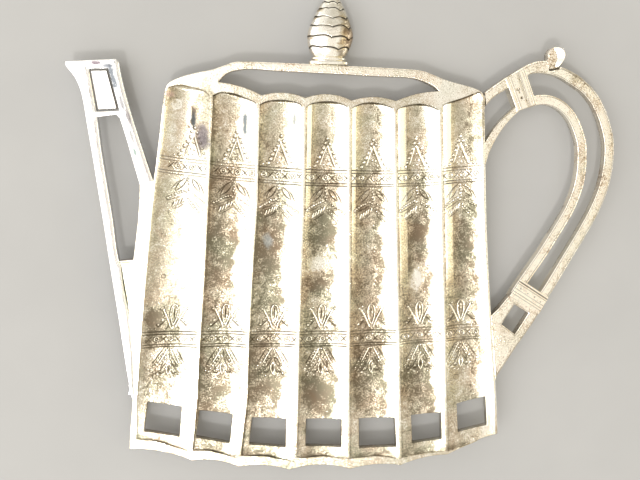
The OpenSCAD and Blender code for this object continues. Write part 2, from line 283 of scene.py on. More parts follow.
def steel_mat():
    m, nt, b = new_mat("steel_pins")
    co = node(nt, "ShaderNodeTexCoord").outputs["Object"]
    mp = node(nt, "ShaderNodeMapping")
    mp.inputs["Scale"].default_value = (1.0, 1.0, 0.1)
    nt.links.new(co, mp.inputs["Vector"])
    n = noise(nt, mp.outputs[0], 900.0, 3.0)
    nt.links.new(ramp(nt, n, [(0.3, (0.42, 0.42, 0.43)), (0.7, (0.66, 0.66, 0.67))]),
                 b.inputs["Base Color"])
    nt.links.new(ramp(nt, n, [(0.3, 0.42), (0.7, 0.28)]), b.inputs["Roughness"])
    b.inputs["Metallic"].default_value = 1.0
    return m


def felt_mat():
    m, nt, b = new_mat("green_felt")
    co = node(nt, "ShaderNodeTexCoord").outputs["Object"]
    n = noise(nt, co, 2400.0, 6.0, 0.7, 1.2)
    k = noise(nt, co, 500.0, 3.0)
    c = ramp(nt, n, [(0.3, (0.035, 0.075, 0.045)), (0.7, (0.10, 0.19, 0.12))])
    c = mix_col(nt, ramp(nt, k, [(0.4, 0.0), (0.7, 0.4)]), c, (0.07, 0.10, 0.06))
    nt.links.new(c, b.inputs["Base Color"])
    b.inputs["Roughness"].default_value = 0.95
    b.inputs["Sheen Weight"].default_value = 0.4
    bp = node(nt, "ShaderNodeBump")
    bp.inputs["Strength"].default_value = 0.6
    bp.inputs["Distance"].default_value = 0.0002
    nt.links.new(n, bp.inputs["Height"])
    nt.links.new(bp.outputs[0], b.inputs["Normal"])
    return m


MAT["steel"] = steel_mat()
MAT["felt"] = felt_mat()


# ------------------------------------------------------------ mesh helpers
def mesh_object(name, verts, quads=None, polys=None, mat="bars", slot=None,
                replaces=(), attrs=None, sharp=38.0, ride=True):
    """verts in design millimetres; quads is an (n, 4) array, polys a list."""
    co = place(verts).astype(np.float32)
    me = bpy.data.meshes.new(name)
    loops, starts, totals = [], [], []
    n = 0
    if quads is not None and len(quads):
        q = np.asarray(quads, np.int32)
        loops.append(q.ravel())
        starts.append(np.arange(len(q), dtype=np.int32) * 4)
        totals.append(np.full(len(q), 4, np.int32))
        n = q.size
    if polys:
        flat = np.concatenate([np.asarray(p, np.int32) for p in polys])
        tot = np.array([len(p) for p in polys], np.int32)
        loops.append(flat)
        starts.append(n + np.concatenate([[0], np.cumsum(tot)[:-1]]).astype(np.int32))
        totals.append(tot)
    loops = np.concatenate(loops)
    starts = np.concatenate(starts)
    totals = np.concatenate(totals)
    me.vertices.add(len(co))
    me.vertices.foreach_set("co", co.ravel())
    me.loops.add(len(loops))
    me.loops.foreach_set("vertex_index", loops)
    me.polygons.add(len(starts))
    me.polygons.foreach_set("loop_start", starts)
    me.polygons.foreach_set("loop_total", totals)
    me.update(calc_edges=True)
    me.validate()
    me.polygons.foreach_set("use_smooth", np.ones(len(me.polygons), bool))
    me.set_sharp_from_angle(angle=math.radians(sharp))
    for key in ("tarn_and_painted_light", "cav_dirt_and_shade"):
        vals = np.zeros(len(co), np.float32)
        if attrs and key in attrs:
            vals[:] = attrs[key]
        a = me.attributes.new(key, "FLOAT", "POINT")
        a.data.foreach_set("value", vals)
    me.materials.append(MAT[mat])
    ob = bpy.data.objects.new(name, me)
    bpy.context.scene.collection.objects.link(ob)
    if ride:
        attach(ob, "root")
        if replaces:
            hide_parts(*replaces)
    return ob


def cr(a, b, c, d, t):
    return 0.5 * (2 * b + (c - a) * t + (2 * a - 5 * b + 4 * c - d) * t * t
                  + (3 * b - a - 3 * c + d) * t ** 3)


def smooth(p, n=4):
    p = np.asarray(p, float)
    out = []
    for i in range(len(p) - 1):
        a, b = p[max(i - 1, 0)], p[i]
        c, d = p[i + 1], p[min(i + 2, len(p) - 1)]
        for k in range(n):
            out.append(cr(a, b, c, d, k / n))
    out.append(p[-1])
    return np.array(out)


def bow(a, b, s, n=12):
    a, b = np.array(a, float), np.array(b, float)
    u = np.array([a[1] - b[1], b[0] - a[0]])
    u /= np.hypot(*u)
    return np.array([a + (b - a) * t + 4 * s * t * (1 - t) * u
                     for t in np.arange(n) / n])


def area2(p):
    x, y = p[:, 0], p[:, 1]
    return np.sum(x * np.roll(y, -1) - np.roll(x, -1) * y)


def clean_loop(p, tol=1e-4):
    p = np.asarray(p, float)
    keep = [0]
    for i in range(1, len(p)):
        if np.hypot(*(p[i] - p[keep[-1]])) > tol:
            keep.append(i)
    if np.hypot(*(p[keep[-1]] - p[keep[0]])) <= tol:
        keep.pop()
    return p[keep]


def inset_loop(p, w):
    """Moves each edge of a counter-clockwise loop inwards by its own width."""
    p = np.asarray(p, float)
    n = len(p)
    w = np.broadcast_to(np.asarray(w, float), (n,))
    e = np.roll(p, -1, 0) - p
    ln = np.hypot(e[:, 0], e[:, 1])
    nrm = np.column_stack([-e[:, 1], e[:, 0]]) / ln[:, None]
    out = np.empty_like(p)
    for i in range(n):
        n0, n1 = nrm[i - 1], nrm[i]
        w0, w1 = w[i - 1], w[i]
        det = n0[0] * n1[1] - n0[1] * n1[0]
        if abs(det) < 0.08:
            m = n0 + n1
            m /= max(np.hypot(*m), 1e-9)
            out[i] = p[i] + m * (w0 + w1) / 2
        else:
            v = np.array([(w0 * n1[1] - w1 * n0[1]) / det,
                          (w1 * n0[0] - w0 * n1[0]) / det])
            lim = 2.2 * max(w0, w1)
            l = np.hypot(*v)
            if l > lim:
                v *= lim / l
            out[i] = p[i] + v
    return out


def prism(name, outer, z0, z1, holes=(), bev=0.35, bev_b=0.2, edge_w=None,
          mat="bars", slot=None, replaces=(), seg=4,
          dens=None, flush=(), edge_dirt_and_shade_scale=1.0):
    """Closed plate with a rounded upper edge. edge_w(normal) may widen the rounding on edges that face a given way;
    flush holds the stretches that join a neighbour and stay sharp. A dark line just inside the rounding is dirt and
    painted shade together, darker where the rounding is wider."""
    loops = []
    for k, lp in enumerate([outer] + list(holes)):
        lp = clean_loop(lp)
        if dens:
            q = []
            for i in range(len(lp)):
                a, b = lp[i], lp[(i + 1) % len(lp)]
                m = max(1, int(np.hypot(*(b - a)) / dens))
                q += [a + (b - a) * t / m for t in range(m)]
            lp = np.array(q)
        if (area2(lp) > 0) != (k == 0):
            lp = lp[::-1]
        loops.append(lp)
    verts, quads = [], []
    tops, bots = [], []
    cav_dirt_and_shade = []
    base = 0
    for lp in loops:
        n = len(lp)
        e = np.roll(lp, -1, 0) - lp
        ln = np.hypot(e[:, 0], e[:, 1])
        out_n = np.column_stack([e[:, 1], -e[:, 0]]) / ln[:, None]
        w = np.full(n, bev)
        if edge_w is not None:
            w = np.array([edge_w(v, bev) for v in out_n])
        wb = np.full(n, bev_b)
        if len(flush):
            mid = (lp + np.roll(lp, -1, 0)) / 2
            hit = np.min([line_dist(mid, f) for f in flush], axis=0) < 0.06
            w = np.where(hit, 0.0, w)
            wb = np.where(hit, 0.0, wb)
        wv = np.maximum(w, np.roll(w, 1))
        drop = np.minimum(0.9 * wv, 0.36 + 0.42 * np.clip(wv - bev, 0, None))
        # dirt and painted shade: a dark line where the rounding meets the top
        edge_dirt_and_shade = np.where(wv < 0.01, 0.0, np.clip(0.22 + 0.5 * (wv - bev), 0, 0.75)) * edge_dirt_and_shade_scale
        rings = [(inset_loop(lp, wb), z0, 0), (lp, z0 + bev_b, 0), (lp, z1 - drop, 0)]
        for s in range(1, seg + 1):
            a = s / seg * math.pi / 2
            rings.append((inset_loop(lp, w * (1 - math.cos(a))), z1 - drop * (1 - math.sin(a)),
                          edge_dirt_and_shade * (s == seg)))
        if edge_dirt_and_shade_scale:
            k = np.where(w > 0.01, 1.0, 0.0)
            rings.append((inset_loop(lp, w + 0.17 * k), z1 - 0.02, edge_dirt_and_shade))
            rings.append((inset_loop(lp, w + 0.36 * k), z1, 0))
        for r, (xy, z, st) in enumerate(rings):
            verts.append(np.column_stack([xy, np.broadcast_to(z, (n,))]))
            cav_dirt_and_shade.append(np.broadcast_to(st, (n,)).astype(float))
            if r:
                a0 = base + (r - 1) * n
                i = np.arange(n)
                j = (i + 1) % n
                quads.append(np.column_stack([a0 + i, a0 + j, a0 + n + j, a0 + n + i]))
        bots.append((base, n, rings[0][0]))
        tops.append((base + (len(rings) - 1) * n, n, rings[-1][0]))
        base += len(rings) * n
    V = np.vstack(verts)
    polys = []
    for which, flip in ((tops, False), (bots, True)):
        idx, lists = [], []
        for start, n, xy in which:
            idx += list(range(start, start + n))
            lists.append([Vector((x, y, 0)) for x, y in xy])
        for t in tessellate_polygon(lists):
            a, b, c = (idx[t[0]], idx[t[1]], idx[t[2]])
            pa, pb, pc = V[a], V[b], V[c]
            ar = (pb[0] - pa[0]) * (pc[1] - pa[1]) - (pb[1] - pa[1]) * (pc[0] - pa[0])
            if abs(ar) < 1e-10:
                pass
            if (ar < 0) != flip:
                a, b = b, a
            polys.append((a, b, c))
    attrs = {"cav_dirt_and_shade": np.concatenate(cav_dirt_and_shade)}
    return mesh_object(name, V, np.vstack(quads), polys, mat, slot, replaces, attrs,
                       sharp=55.0)


def offsets(p):
    p = np.asarray(p, float)
    t = np.empty_like(p)
    t[1:-1] = p[2:] - p[:-2]
    t[0], t[-1] = p[1] - p[0], p[-1] - p[-2]
    t /= np.hypot(t[:, 0], t[:, 1])[:, None]
    return np.column_stack([-t[:, 1], t[:, 0]])


def fix_normals(ob):
    """Turns the faces of a closed mesh outwards if its volume is negative."""
    me = ob.data
    n = len(me.vertices)
    co = np.empty(n * 3)
    me.vertices.foreach_get("co", co)
    co = co.reshape(-1, 3)
    me.calc_loop_triangles()
    t = np.empty(len(me.loop_triangles) * 3, np.int32)
    me.loop_triangles.foreach_get("vertices", t)
    t = t.reshape(-1, 3)
    a, b, c = co[t[:, 0]], co[t[:, 1]], co[t[:, 2]]
    vol = np.einsum("ij,ij->i", a, np.cross(b, c)).sum() / 6
    if vol < 0:
        me.flip_normals()
    return vol


def grid_quads(nr, nc, keep=None, wrap=False, base=0):
    i, j = np.meshgrid(np.arange(nr - 1), np.arange(nc if wrap else nc - 1), indexing="ij")
    jj = (j + 1) % nc
    q = np.stack([i * nc + j, i * nc + jj, (i + 1) * nc + jj, (i + 1) * nc + j], -1)
    if keep is not None:
        q = q[keep]
    return q.reshape(-1, 4) + base


def seg_dist(P, a, b):
    """Distance from points P (n, 2) to the segment a-b, and the place on it."""
    a, b = np.asarray(a, float), np.asarray(b, float)
    d = b - a
    L = max(d @ d, 1e-12)
    t = np.clip(((P - a) @ d) / L, 0, 1)
    q = P - a - t[:, None] * d
    return np.hypot(q[:, 0], q[:, 1]), t


def line_dist(P, line, cut=3.0):
    line = np.asarray(line, float)
    best = np.full(len(P), 1e3)
    for a, b in zip(line[:-1], line[1:]):
        lo = np.minimum(a, b) - cut
        hi = np.maximum(a, b) + cut
        m = np.flatnonzero((P[:, 0] > lo[0]) & (P[:, 0] < hi[0])
                           & (P[:, 1] > lo[1]) & (P[:, 1] < hi[1]))
        if len(m):
            d, _ = seg_dist(P[m], a, b)
            best[m] = np.minimum(best[m], d)
    return best


def interp_line(pts):
    """u as a function of v through points given top to bottom."""
    q = np.array(sorted(pts, key=lambda s: s[1]), float)
    return lambda v: np.interp(v, q[:, 1], q[:, 0])


# --------------------------------------------------------- the fluted body
shoulder_l = [[-48.5, 71.2], [-54, 70], [-60, 68.4], [-64.5, 66.6], [-67.3, 64.6],
              [-68.4, 61.5], [-69.4, 55], [-70.7, 44], [-72.2, 32], [-73.3, 24.5]]
side_l = [[-79, 23], [-79.2, 17], [-80, 7], [-81, -1], [-82, -9]]
seam_l = [[-88, -9.6], [-87, -12], [-85.7, -24], [-84.2, -33.5], [-82.8, -50], [-82.6, -66]]
heel_l = [[-83.3, -71.5], [-83.8, -78], [-84.5, -85], [-85, -93.7]]
edge_r = [[82.9, -90.5], [82, -79], [80.4, -65], [78.4, -50], [76.3, -31], [74.3, -13],
          [72.5, 5], [71.1, 23], [69.9, 40], [68.7, 56]]
shoulder_r = [[68.6, 62.5], [67, 65.2], [64.5, 66.6], [60, 67.8], [54.5, 69], [49.3, 70.4]]
base_cusps = [[-85, -93.7], [-57.5, -99.9], [-37, -103.4], [-14, -105.5], [13.8, -106],
              [37.4, -104.8], [59.5, -100.2], [82.9, -90.5]]
base_bow = [1.6, 1.6, 1.5, 2.3, 1.4, 1.2, 0.5]
rim_cusps = [[48, 65], [29.3, 60.4], [10, 60.1], [-9.8, 60.7], [-28.2, 61.2], [-46.3, 66.1]]
rim_bow = [-1, -1.6, -2.1, -1.6, -1]
win = [[[-76.7, -72.6], [-62.2, -75], [-63.2, -88.9], [-78.5, -85.8]],
       [[-54.3, -76.7], [-39.8, -79], [-41.1, -92.4], [-55.9, -89.3]],
       [[-31.1, -80.6], [-16, -81.4], [-15.9, -94.9], [-32.3, -93.2]],
       [[-6.8, -81.7], [9.3, -82.1], [9.5, -95.4], [-6.8, -94.6]],
       [[17.3, -82], [33.8, -81.8], [35, -95.8], [17.9, -96.2]],
       [[41.6, -81], [55.5, -79.8], [56.3, -92.6], [42.6, -94.5]],
       [[62.9, -76], [76.3, -72.8], [77.6, -86.4], [64, -89.6]]]

# lines of the eight ridges, from the measured arrises
arris = [
    [(-68.4, 61.5), (-69.4, 55), (-70.7, 44), (-72.2, 32), (-73.3, 24.5), (-73.7, 20.7),
     (-76.2, -3.5), (-79.4, -37), (-82.1, -71), (-82.5, -90), (-82.7, -96)],
    [(-48.8, 75), (-49.25, 54.5), (-50.95, 17), (-52.65, -18), (-54.35, -44), (-55.75, -72), (-57.9, -95), (-58.3, -104)],
    [(-29.5, 75), (-29.65, 55), (-30.15, 17), (-32.05, -18), (-33.15, -45), (-33.75, -72), (-36.2, -95), (-36.9, -106)],
    [(-10.0, 75), (-10.0, 55), (-9.95, 17), (-10.65, -18), (-11.05, -45), (-11.1, -73), (-11.55, -97), (-11.8, -108)],
    [(8.7, 75), (9.25, 56), (10.05, 18), (11.05, -18), (11.55, -45), (12.05, -73), (12.75, -99), (13.0, -108)],
    [(28.6, 75), (28.95, 55), (30.85, 18), (32.75, -18), (34.25, -45), (35.55, -73), (36.95, -99), (37.3, -107)],
    [(48.6, 75), (48.95, 55), (51.45, 17), (53.75, -18), (55.55, -45), (57.05, -72), (58.55, -96), (59.0, -103)],
    [(68.6, 62.5), (68.7, 56), (69.9, 40), (71.1, 23), (72.5, 5), (74.3, -13), (76.3, -31),
     (78.4, -50), (80.4, -65), (82, -79), (82.9, -90.5), (83.1, -94)]]
ARR = [interp_line(a) for a in arris]
top_line = np.vstack([smooth(shoulder_r, 3)] +
                     [bow(rim_cusps[i], rim_cusps[i + 1], rim_bow[i]) for i in range(5)] +
                     [[[-46.3, 66.1]], smooth(shoulder_l[:6], 3)])[::-1]
base_line = np.vstack([bow(base_cusps[i], base_cusps[i + 1], base_bow[i]) for i in range(7)] +
                      [[base_cusps[-1]]])
outline_l = np.array(shoulder_l[5:])
outline_r = np.array([shoulder_r[0]] + edge_r[::-1])
free_top = [smooth(shoulder_l[:6], 3), smooth(shoulder_r, 3),
            np.vstack([bow(rim_cusps[i], rim_cusps[i + 1], rim_bow[i]) for i in range(5)]
                      + [[[-46.3, 66.1]]])]
seam_lid_l = np.array([[-48.5, 71.2], [-46.3, 66.1]])
seam_lid_r = np.array([[49.3, 70.4], [48.0, 65.0]])
seam_spout = np.array([[-73.3, 24.5], [-79.0, 23.0]])


def top_dist(P):
    return np.min([line_dist(P, f) for f in free_top], axis=0)


TOPV = lambda u: np.interp(u, top_line[:, 0], top_line[:, 1])
BASEV = lambda u: np.interp(u, base_line[:, 0], base_line[:, 1])

# engraved bands: top line of each, across the whole body
band_up = np.array([(-72, 35.5), (-68.4, 35.0), (-51.8, 33.3), (-30, 31.6), (-10.3, 30.5),
                    (9.2, 30.3), (30.3, 30.5), (50.3, 31.8), (69.1, 33.8), (74, 34.3)])
band_lo = np.array([(-84, -41.0), (-75.4, -41.1), (-52.7, -41.0), (-32.3, -41.2), (-10.8, -41.4),
                    (11.1, -41.3), (33.3, -40.8), (53, -39.5), (75.4, -38.3), (84, -37.8)])


def smooth_fn(pts):
    q = smooth(pts, 8)
    return lambda u: np.interp(u, q[:, 0], q[:, 1])


UPV, LOV = smooth_fn(band_up), smooth_fn(band_lo)

# upper ends of the flutes, left to right, and their lower ends
head = [[(-69.5, 61.0), (-67.4, 62.6), (-66.2, 63.6), (-63.5, 64.3), (-60.8, 64.5), (-57.9, 63.9),
         (-53.8, 63.0), (-51.4, 61.8), (-49.5, 60.0), (-48.3, 58.6)],
        [(-50, 58.6), (-48.9, 60.0), (-47.3, 61.1), (-44.8, 62), (-40.6, 61.7), (-37.3, 60.8),
         (-32.3, 58.9), (-30.3, 57.6), (-29, 56.4)],
        [(-30.5, 55.8), (-28.4, 57.6), (-25.5, 58.9), (-20.5, 59.5), (-15.5, 59.1), (-12.3, 58.2),
         (-10.9, 57.0), (-9.6, 55.6)],
        [(-10.6, 55.6), (-9.0, 57.2), (-6.2, 58.6), (0, 59.4), (5.0, 58.8), (7.6, 57.8),
         (8.8, 56.8), (9.8, 55.6)],
        [(8.6, 55.6), (10.1, 56.8), (12.0, 57.9), (14.5, 58.9), (17.9, 59.4), (22.3, 59.2),
         (26.0, 58.2), (28, 57.2), (29.3, 55.8)],
        [(28.4, 55.6), (30.2, 57.0), (33.0, 58.3), (38.6, 59.4), (43.5, 59.0), (46.8, 57.8),
         (48.2, 56.8), (49.4, 55.4)],
        [(48.3, 57.2), (49.6, 58.6), (51.6, 60.0), (58.5, 62.4), (65.2, 65.0), (66.8, 64.4),
         (68.4, 61.5)]]
foot = [[(-83, -88.6), (-81.3, -89.3), (-73.4, -90.2), (-61.3, -94.5), (-57.5, -96.4)],
        [(-58.8, -94.6), (-58.2, -95), (-49.9, -95.3), (-38.1, -98.9), (-36, -100)],
        [(-37, -97.8), (-31.9, -98.3), (-25, -98.6), (-14.9, -100.9), (-11, -102)],
        [(-12, -99.6), (-8.7, -99.9), (1, -99.3), (9, -100.3), (12.2, -101), (13.4, -101.5)],
        [(12.2, -101.2), (18.9, -100.4), (25.5, -99.8), (32, -100.6), (37.1, -101.9), (38, -102.2)],
        [(36.8, -101.6), (41, -100.4), (48, -99.3), (58.6, -98.4), (60, -98.2)],
        [(58.2, -99.0), (64, -97.2), (72, -94.4), (81.6, -91.2), (83, -90.7)]]
TROUGH_PAD = [(1.15, 0.42)] + [(0.42, 0.42)] * 5 + [(0.42, 1.2)]
UP_C = [-58.1, -39.2, -20.1, 0.1, 20.6, 40.0, 59.8]
LO_C = [-66.5, -43.6, -21.8, -0.5, 22.1, 44.5, 63.5]


def smin(a, b, k):
    h = np.clip(0.5 + 0.5 * (b - a) / k, 0, 1)
    return b * (1 - h) + a * h - k * h * (1 - h)


def waves(u, v):
    """Slow unevenness of the casting, in millimetres."""
    z = 0.030 * np.sin(u * 0.21 + 1.3) * np.sin(v * 0.093 + 0.4)
    z += 0.022 * np.sin(u * 0.35 - v * 0.17 + 2.1)
    z += 0.016 * np.sin(u * 0.13 + v * 0.31 + 0.7)
    z += 0.009 * np.sin(u * 0.83 + 1.1) * np.sin(v * 0.61 + 2.6)
    z += 0.007 * np.sin(u * 0.57 - v * 0.97 + 0.3)
    return z


# --------------------------------------------------------------- engraving
def mirror(el):
    k = el[0]
    if k == "line":
        return ("line", [(-x, y) for x, y in el[1]], *el[2:])
    return (k, (-el[1][0], el[1][1]), *el[2:])


def leaf(tip, root, w, hw, d, side=1.0, n=9, rib=True):
    """Pointed oval outline from root to tip, w wide, as two grooves."""
    root, tip = np.array(root, float), np.array(tip, float)
    ax = tip - root
    nn = np.array([-ax[1], ax[0]]) / np.hypot(*ax)
    out = []
    for sgn, k in ((1, 1.0), (-1, 1.0)):
        pts = [tuple(root + ax * t + nn * sgn * side * w / 2 * math.sin(math.pi * t) ** 0.8
                     * (1.0 - 0.25 * t)) for t in np.linspace(0, 1, n)]
        out.append(("line", pts, hw, d))
    if rib:
        out.append(("line", [tuple(root + ax * 0.15), tuple(root + ax * 0.8)], hw * 0.6, d * 0.6))
    return out


def upper_motif(phase, half):
    """Local millimetres: y = 0 on the band's upper line."""
    E = []
    # the tree: a trefoil, beads down the left, a bold right leg
    E += [("dot", (0.0, 13.4), .82, 0.32), ("dot", (-0.9, 11.6), .74, 0.30),
          ("dot", (1.15, 11.4), .74, 0.30)]
    for x, y, r in ((-1.5, 9.4, .78), (-2.4, 7.4, .80), (-3.4, 5.4, .82), (-4.3, 3.4, .80),
                    (-5.2, 1.5, .70)):
        E.append(("dot", (x, y), r, 0.34))
    for x, y, r in ((2.2, 9.2, .55), (3.1, 7.2, .58), (4.0, 5.1, .58), (4.9, 3.0, .58),
                    (5.8, 1.3, .5)):
        E.append(("dot", (x, y), r, 0.28))
    E.append(("line", [(0.0, 10.4), (1.7, 6.4), (3.6, 1.7)], .72, 0.34))
    E.append(("line", [(-0.4, 9.9), (-1.7, 6.2), (-2.9, 2.4)], .46, 0.26))
    E += [("dot", (0.2, 7.0), .50, .24), ("dot", (-0.6, 4.4), .46, .22), ("dot", (0.9, 4.2), .46, .22),
          ("dot", (0.2, 2.2), .46, .22), ("dot", (-1.4, 2.0), .40, .2), ("dot", (1.9, 1.9), .40, .2),
          ("dot", (-7.4, 0.95), .45, .22), ("dot", (7.4, 0.95), .40, .2)]
    # sprays below the band: slim leaves, a roped arm, then feathers
    E.append(("dot", (-0.1, -7.9), .62, .28))
    for k in range(5):
        E.append(("dot", ((-0.25, 0.3)[k % 2], -9.2 - 1.25 * k), .56, .30))
    E += leaf((-5.4, -13.9), (-1.0, -7.8), 2.4, .26, .28, rib=False)
    E += leaf((5.2, -13.4), (1.2, -8.2), 2.2, .26, .26, rib=False)
    E.append(("line", [(-6.9, -13.2), (-5.0, -10.6), (-3.4, -9.0)], .24, .2))
    E.append(("line", [(6.9, -14.2), (5.6, -11.4), (4.0, -9.4)], .26, .22))
    for k in range(8):
        t = k / 7.0
        E.append(("dot", (-1.3 - 6.9 * t, -13.7 - 3.8 * t + 0.4 * math.sin(math.pi * t)),
                  .60, .34))
    E.append(("line", [(-0.6, -15.0), (-4.2, -16.9), (-8.2, -18.7)], .20, .18))
    for k in range(5):
        t = k / 4.0
        cx, cy = -0.8 - 4.6 * t, -17.3 - 2.7 * t
        E.append(("line", [(cx + .30, cy + 1.0), (cx - .35, cy - .95)], .62 - .05 * t, .32))
    E.append(("line", [(-0.6, -18.8), (-2.8, -20.6), (-5.6, -22.0)], .24, .2))
    E.append(("line", [(1.6, -13.9), (4.2, -15.9), (8.8, -18.4)], .24, .2))
    for k in range(7):
        t = k / 6.0
        E.append(("dot", (2.0 + 6.4 * t, -14.9 - 3.9 * t), .38, .24))
    for k in range(6):
        t = k / 5.0
        E.append(("dot", (0.9 + 4.6 * t, -16.6 - 5.4 * t), .56 - .12 * t, .30))
    E.append(("line", [(0.3, -17.4), (2.6, -20.2), (5.2, -23.0)], .24, .2))
    E.append(("line", [(2.6, -17.0), (4.6, -19.2), (6.4, -20.6)], .24, .18))
    E += [("dot", (-7.4, -19.9), .4, .2), ("dot", (6.9, -21.3), .4, .2)]
    E += band_row(phase, half, -3.35, (0.0, -1.26, -5.76, -6.84))
    return E


def lower_motif(phase, half):
    E = []
    # tulip: a long loop between two arms
    loop = [(0.0, 12.0), (-.8, 11.6), (-1.4, 10.4), (-1.6, 8.6), (-1.3, 6.3), (-0.7, 4.3), (0.0, 2.9)]
    H = [("line", loop, .48, .28),
         ("line", [(-4.8, 9.9), (-3.9, 8.2), (-2.6, 5.6), (-1.7, 3.6), (-1.0, 1.8)], .60, .30),
         ("dot", (-5.6, 10.2), .62, .28), ("dot", (-4.2, 11.0), .50, .24),
         ("line", [(-2.9, 5.2), (-4.6, 3.6), (-6.1, 2.2)], .34, .22),
         ("dot", (-3.9, 6.3), .54, .28), ("dot", (-5.0, 4.9), .56, .28), ("dot", (-6.3, 3.1), .62, .28),
         ("dot", (-7.3, 1.3), .48, .24), ("line", [(-2.0, 2.2), (-3.0, 1.0)], .3, .2)]
    E += H + [mirror(e) for e in H]
    E.append(("line", [(0.0, 10.6), (0.0, 6.0)], .38, .24))
    # hanging chevrons of beads and leaves under the band
    S = [("line", [(0.9, -7.8), (2.7, -11.0), (4.4, -14.2)], .52, .28),
         ("line", [(2.9, -7.9), (4.9, -11.2), (6.9, -14.4)], .34, .22)]
    for k in range(8):
        t = k / 7.0
        S.append(("dot", (1.8 + 5.6 * t, -8.4 - 8.4 * t), .50, .28))
    for k in range(7):
        t = k / 6.0
        S.append(("dot", (1.0 + 5.0 * t, -10.6 - 7.6 * t), .54 - .06 * t, .30))
    S += leaf((3.4, -16.6), (0.7, -11.8), 1.5, .30, .24)
    S.append(("line", [(1.2, -14.6), (3.6, -17.6), (6.6, -19.6)], .24, .18))
    S += [("line", [(1.1, -17.4), (2.2, -18.8), (3.6, -18.7), (4.0, -17.6)], .34, .24),
          ("dot", (2.7, -17.6), .5, .26), ("dot", (4.6, -19.2), .56, .28),
          ("dot", (3.2, -20.3), .46, .24), ("dot", (5.9, -20.4), .42, .24),
          ("dot", (1.5, -20.8), .42, .22), ("dot", (7.3, -17.6), .42, .22)]
    E += S + [mirror(e) for e in S]
    E += leaf((0.0, -19.6), (0.0, -14.3), 2.3, .42, .28, rib=False)
    E.append(("line", [(0, -15.6), (0, -18.0)], .38, .22))
    E.append(("dot", (0.0, -8.1), .60, .26))
    E.append(("line", [(0.0, -9.0), (0.0, -12.6)], .30, .2))
    E += band_row(phase, half, -3.35, (0.0, -1.26, -5.76, -6.84))
    return E


def band_row(phase, half, yc, lines):
    """Crosses and rings in a row between two pairs of lines."""
    E = []
    for y in lines:
        E.append(("line", [(-half - 6, y), (half + 6, y)], .33, .18))
    pitch = 3.05
    k0 = int(math.floor((-half + 1.2 - phase) / pitch)) + 1
    k = k0
    while phase + k * pitch < half - 1.0:
        x = phase + k * pitch
        if k % 2:
            E += [("line", [(x - 1.2, yc - 1.25), (x + 1.2, yc + 1.25)], .30, .22),
                  ("line", [(x - 1.2, yc + 1.25), (x + 1.2, yc - 1.25)], .30, .22)]
        else:
            E += [("ring", (x, yc), 0.98, .40, .26), ("dot", (x, yc), .38, .2)]
        E.append(("dot", (x + pitch / 2, yc + 1.3), .26, .12))
        E.append(("dot", (x + pitch / 2, yc - 1.3), .26, .12))
        k += 1
    return E


def carve(X, Y, elements, jit, wear=1.0):
    """Depth of the engraving at local points, and how dark its cut is."""
    P = np.column_stack([X, Y])
    D = np.zeros(len(P))
    C = np.zeros(len(P))
    B = np.zeros(len(P))
    for e in elements:
        j = jit.normal(0, 0.07, 2)
        s = 1 + jit.normal(0, 0.08)
        if e[0] == "line":
            pts = np.array(e[1]) + (j if abs(e[1][0][0] - e[1][-1][0]) < 30 else 0)
            hw, d = e[2], e[3] * s
            n = len(pts) - 1
            for i in range(n):
                a, b = pts[i], pts[i + 1]
                lo, hi = np.minimum(a, b) - hw * 1.5, np.maximum(a, b) + hw * 1.5
                m = np.flatnonzero((P[:, 0] > lo[0]) & (P[:, 0] < hi[0])
                                   & (P[:, 1] > lo[1]) & (P[:, 1] < hi[1]))
                if not len(m):
                    continue
                r, t = seg_dist(P[m], a, b)
                g = (i + t) / n
                taper = 1.0 if len(pts) == 2 and abs(a[0] - b[0]) > 30 else \
                    0.55 + 0.45 * np.sin(np.pi * np.clip(g, 0, 1)) ** 0.5
                qq = 1 - r / (hw * (0.6 + 0.4 * taper))
                q = np.clip(qq, 0, 1)
                D[m] = np.maximum(D[m], d * taper * q)
                if hw < 0.4:
                    k = 0.60 if abs(a[0] - b[0]) > 30 else (1.0 if hw > 0.25 else 0.8)
                    C[m] = np.maximum(C[m], np.clip(1.7 * q, 0, 1) * taper * k)
                else:
                    C[m] = np.maximum(C[m], np.exp(-((qq - 0.02) / 0.24) ** 2) * taper)
                    B[m] = np.maximum(B[m], np.clip(2.4 * (q - 0.3), 0, 1))
        else:
            c = np.array(e[1]) + j
            if e[0] == "dot":
                r0, d = e[2] * s, e[3]
                m = np.flatnonzero((abs(P[:, 0] - c[0]) < r0 * 1.6) & (abs(P[:, 1] - c[1]) < r0 * 1.6))
                r = np.hypot(P[m, 0] - c[0], P[m, 1] - c[1])
                q = np.clip(1 - (r / r0) ** 2, 0, 1)
                D[m] = np.maximum(D[m], d * q)
                # painted shade: the dark rim round each bead is heavier on its lower left
                lean = 0.75 - 0.25 * (P[m, 0] - c[0] + P[m, 1] - c[1]) / np.maximum(r, 0.05)
                C[m] = np.maximum(C[m], lean * np.exp(-((r / r0 - 1.02) / 0.2) ** 2))
                B[m] = np.maximum(B[m], np.clip(2.0 * (0.85 - r / r0), 0, 1))
            else:
                R, hw, d = e[2] * s, e[3], e[4]
                m = np.flatnonzero((abs(P[:, 0] - c[0]) < R + hw) & (abs(P[:, 1] - c[1]) < R + hw))
                r = abs(np.hypot(P[m, 0] - c[0], P[m, 1] - c[1]) - R)
                q = np.clip(1 - r / hw, 0, 1)
                D[m] = np.maximum(D[m], d * q)
                C[m] = np.maximum(C[m], 0.9 * np.exp(-((q - 0.15) / 0.2) ** 2))
                B[m] = np.maximum(B[m], np.clip(2.0 * (q - 0.35), 0, 1))
    return D * wear, 0.84 * C * (1 - B), B


# large soft patches on the body: centre u, v, radii, strength; a positive strength adds tarnish, a negative one cleans
# the metal as a painted highlight
PATCH_TARNISH_AND_HIGHLIGHT = []


